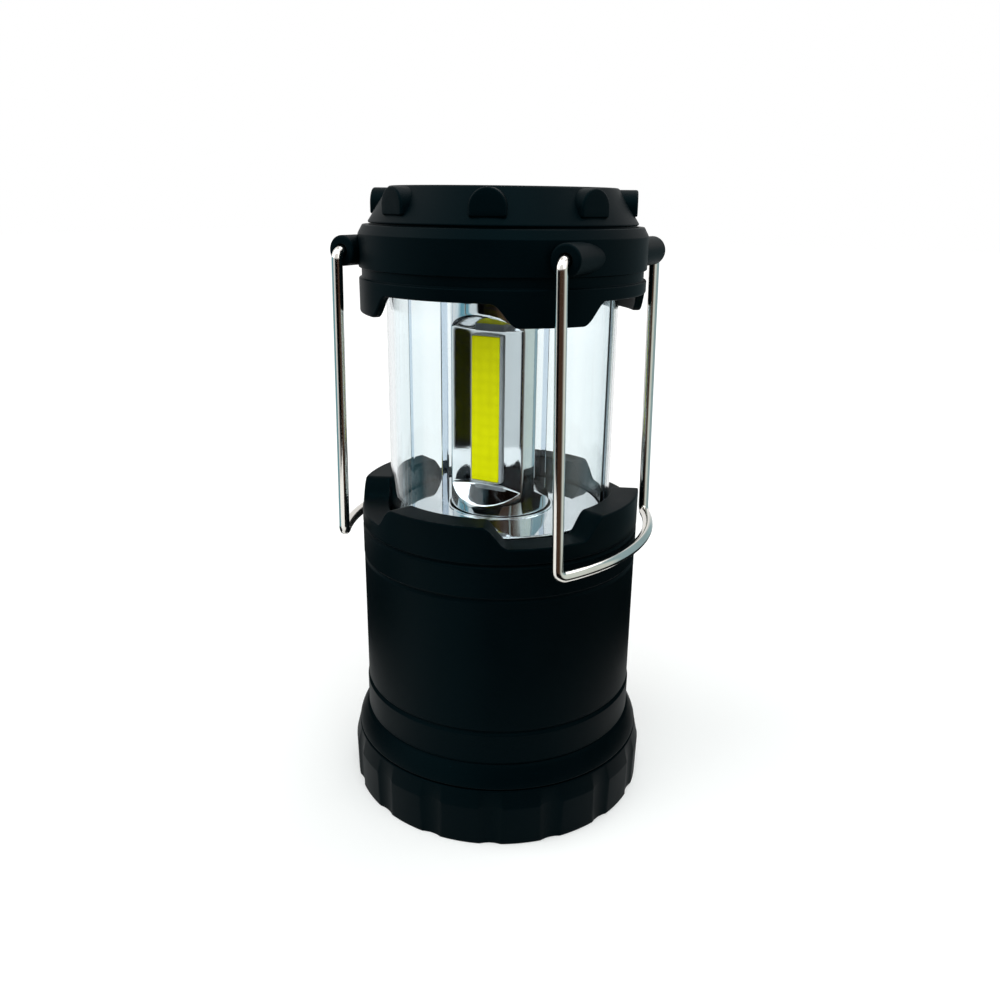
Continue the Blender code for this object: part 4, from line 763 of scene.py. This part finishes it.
def lamp(name, spot, size, power, colour):
    """Square soft lamp at a spot, turned to face the middle of the lantern."""
    light = bpy.data.lights.new(name, "AREA")
    light.shape = "SQUARE"
    light.size = size
    light.energy = power
    light.color = linear(colour)[:3]
    made = bpy.data.objects.new(name, light)
    made.location = spot
    made.rotation_euler = (MIDDLE - Vector(spot)).to_track_quat("-Z", "Y").to_euler()
    bpy.context.scene.collection.objects.link(made)


def seen_white(tree):
    """1 for camera rays, mirrored rays and rays through glass, otherwise 0."""
    path = node(tree, "ShaderNodeLightPath").outputs
    two = node(tree, "ShaderNodeMath", {0: path["Is Camera Ray"], 1: path["Is Glossy Ray"]},
               operation="MAXIMUM")
    return node(tree, "ShaderNodeMath", {0: two.outputs[0], 1: path["Is Transmission Ray"]},
                operation="MAXIMUM").outputs[0]


lamp("key_left", (-0.55, -0.5, 0.75), 0.9, 5.2, "#FBFDFE")
lamp("top_back", (0.15, 0.35, 0.95), 0.7, 3.0, "#FBFDFE")
lamp("top_front", (0.2, -0.35, 0.9), 0.5, 2.8, "#F0FAFD")
lamp("fill_right", (0.65, -0.15, 0.45), 0.6, 1.2, "#FBFDFE")

world = bpy.data.worlds.new("white_studio")
world.use_nodes = True
bpy.context.scene.world = world
tree = world.node_tree
dim = node(tree, "ShaderNodeBackground", {"Color": WHITE, "Strength": 0.4})
full = node(tree, "ShaderNodeBackground", {"Color": WHITE, "Strength": 1.0})
either = node(tree, "ShaderNodeMixShader", {
    0: seen_white(tree), 1: dim.outputs[0], 2: full.outputs[0]})
tree.links.new(either.outputs[0], tree.nodes["World Output"].inputs["Surface"])
print("lamps:", sorted(light.name for light in bpy.data.lights))

# %% [markdown]
# The floor is a plain sheet of pale paper. It glows by the same rule as the surroundings, on top
# of its own colour, and more so farther out, where less of the lamps' light arrives. It reads
# white and still takes the lantern's soft shadow.

# %% Floor
ends = np.array([-4000.0, 4000.0])
sheet = np.stack([*np.meshgrid(ends, ends, indexing="ij"), np.zeros((2, 2))], -1)
floor = skin("studio_floor", sheet, wrap_u=False, wrap_v=False)
paper, tree, shader, place = start(
    "floor_paper_white", Roughness=0.9, Base_Color=linear("#E8E8E6"), Specular_IOR_Level=0.0,
    Emission_Color=WHITE)
away = node(tree, "ShaderNodeVectorMath", {0: place}, operation="LENGTH")
lift = node(tree, "ShaderNodeMapRange", {
    "Value": away.outputs["Value"], "From Min": 0.1, "From Max": 1.1,
    "To Min": 0.22, "To Max": 0.78})
glow = node(tree, "ShaderNodeMath", {0: seen_white(tree), 1: lift.outputs["Result"]},
            operation="MULTIPLY")
feed(tree, shader, Emission_Strength=glow.outputs[0])
floor.data.materials.append(paper)
print("floor of", np.ptp(ends) * MM, "m")

# %% [markdown]
# Chrome needs something dark to mirror, or it looks like paper, so a ring of studio cards stands
# round the lantern: white behind it, grey-blue and white on the left, black in front, brown
# towards the camera, and pale greys on the right. Below 60 mm the cards are dark, which keeps the
# base black at its edges, and a notch in front lets the column mirror the white floor. Only rays
# that a surface has mirrored see the cards; to all others, also through the clear tube, they
# aren't there.

# %% Studio cards
# Angles are degrees from the front, positive to the right.
turned = (np.degrees(ROUND[::2]) + 270) % 360 - 180
# The cards reach from CARD_FOOT, or from NOTCH in front, to CARD_TOP, and are dark up to DARK_TO.
CARD_RADIUS, CARD_FOOT, NOTCH, CARD_TOP, DARK_TO = 100.0, 3, 85, 175.0, 60
foot_line = np.interp(turned, [-43, -40, 14, 20], [CARD_FOOT, NOTCH, NOTCH, CARD_FOOT])
edges = np.stack([foot_line, np.full(len(turned), CARD_TOP)], -1)
cards = skin("studio_cards", around(np.full(2, CARD_RADIUS), edges, ROUND[::2]), wrap_v=False)
card, tree, shader, place = start(
    "studio_card_matt", Specular_IOR_Level=0.0, Base_Color=linear("#000000"))
turn = node(tree, "ShaderNodeTexGradient", {"Vector": place}, gradient_type="RADIAL")
shade = two_tone(tree, turn.outputs["Fac"], "#FFFFFF", "#FFFFFF")
card_shades = {-172: "#FFFFFF", -78: "#F4FCFF", -66: "#6FA8B6", -46: "#6FA8B6", -41: "#F0F4F4",
               -27: "#F0F4F4", -21: "#040404", 12: "#040404", 24: "#4A372C", 54: "#4A372C",
               65: "#8E8880", 74: "#E0EAE4", 101: "#E0EAE4", 109: "#9CB8BE", 150: "#9CB8BE",
               164: "#FFFFFF"}
# A radial gradient is 0.25 in front and grows by 1 in a full turn to the right.
for degrees, colour in card_shades.items():
    stop = shade.color_ramp.elements.new((0.25 + degrees / 360) % 1)
    stop.color = linear(colour)
level = node(tree, "ShaderNodeSeparateXYZ", {0: place}).outputs["Z"]
lit = node(tree, "ShaderNodeMapRange", {
    "Value": level, "From Min": (DARK_TO - 2) * MM, "From Max": (DARK_TO + 2) * MM,
    "To Min": 0.02, "To Max": 1.0})
feed(tree, shader, Emission_Color=shade.outputs["Color"], Emission_Strength=lit.outputs["Result"])
mirrored = node(tree, "ShaderNodeLightPath").outputs["Glossy Depth"]
unseen = node(tree, "ShaderNodeBsdfTransparent")
either = node(tree, "ShaderNodeMixShader", {
    0: mirrored, 1: unseen.outputs[0], 2: shader.outputs[0]})
tree.links.new(either.outputs[0], tree.nodes["Material Output"].inputs["Surface"])
cards.data.materials.append(card)
cards.visible_camera = False
cards.visible_diffuse = False
cards.visible_shadow = False
bpy.context.scene.view_settings.view_transform = "Standard"
print("staged:", floor.name, "and", cards.name)
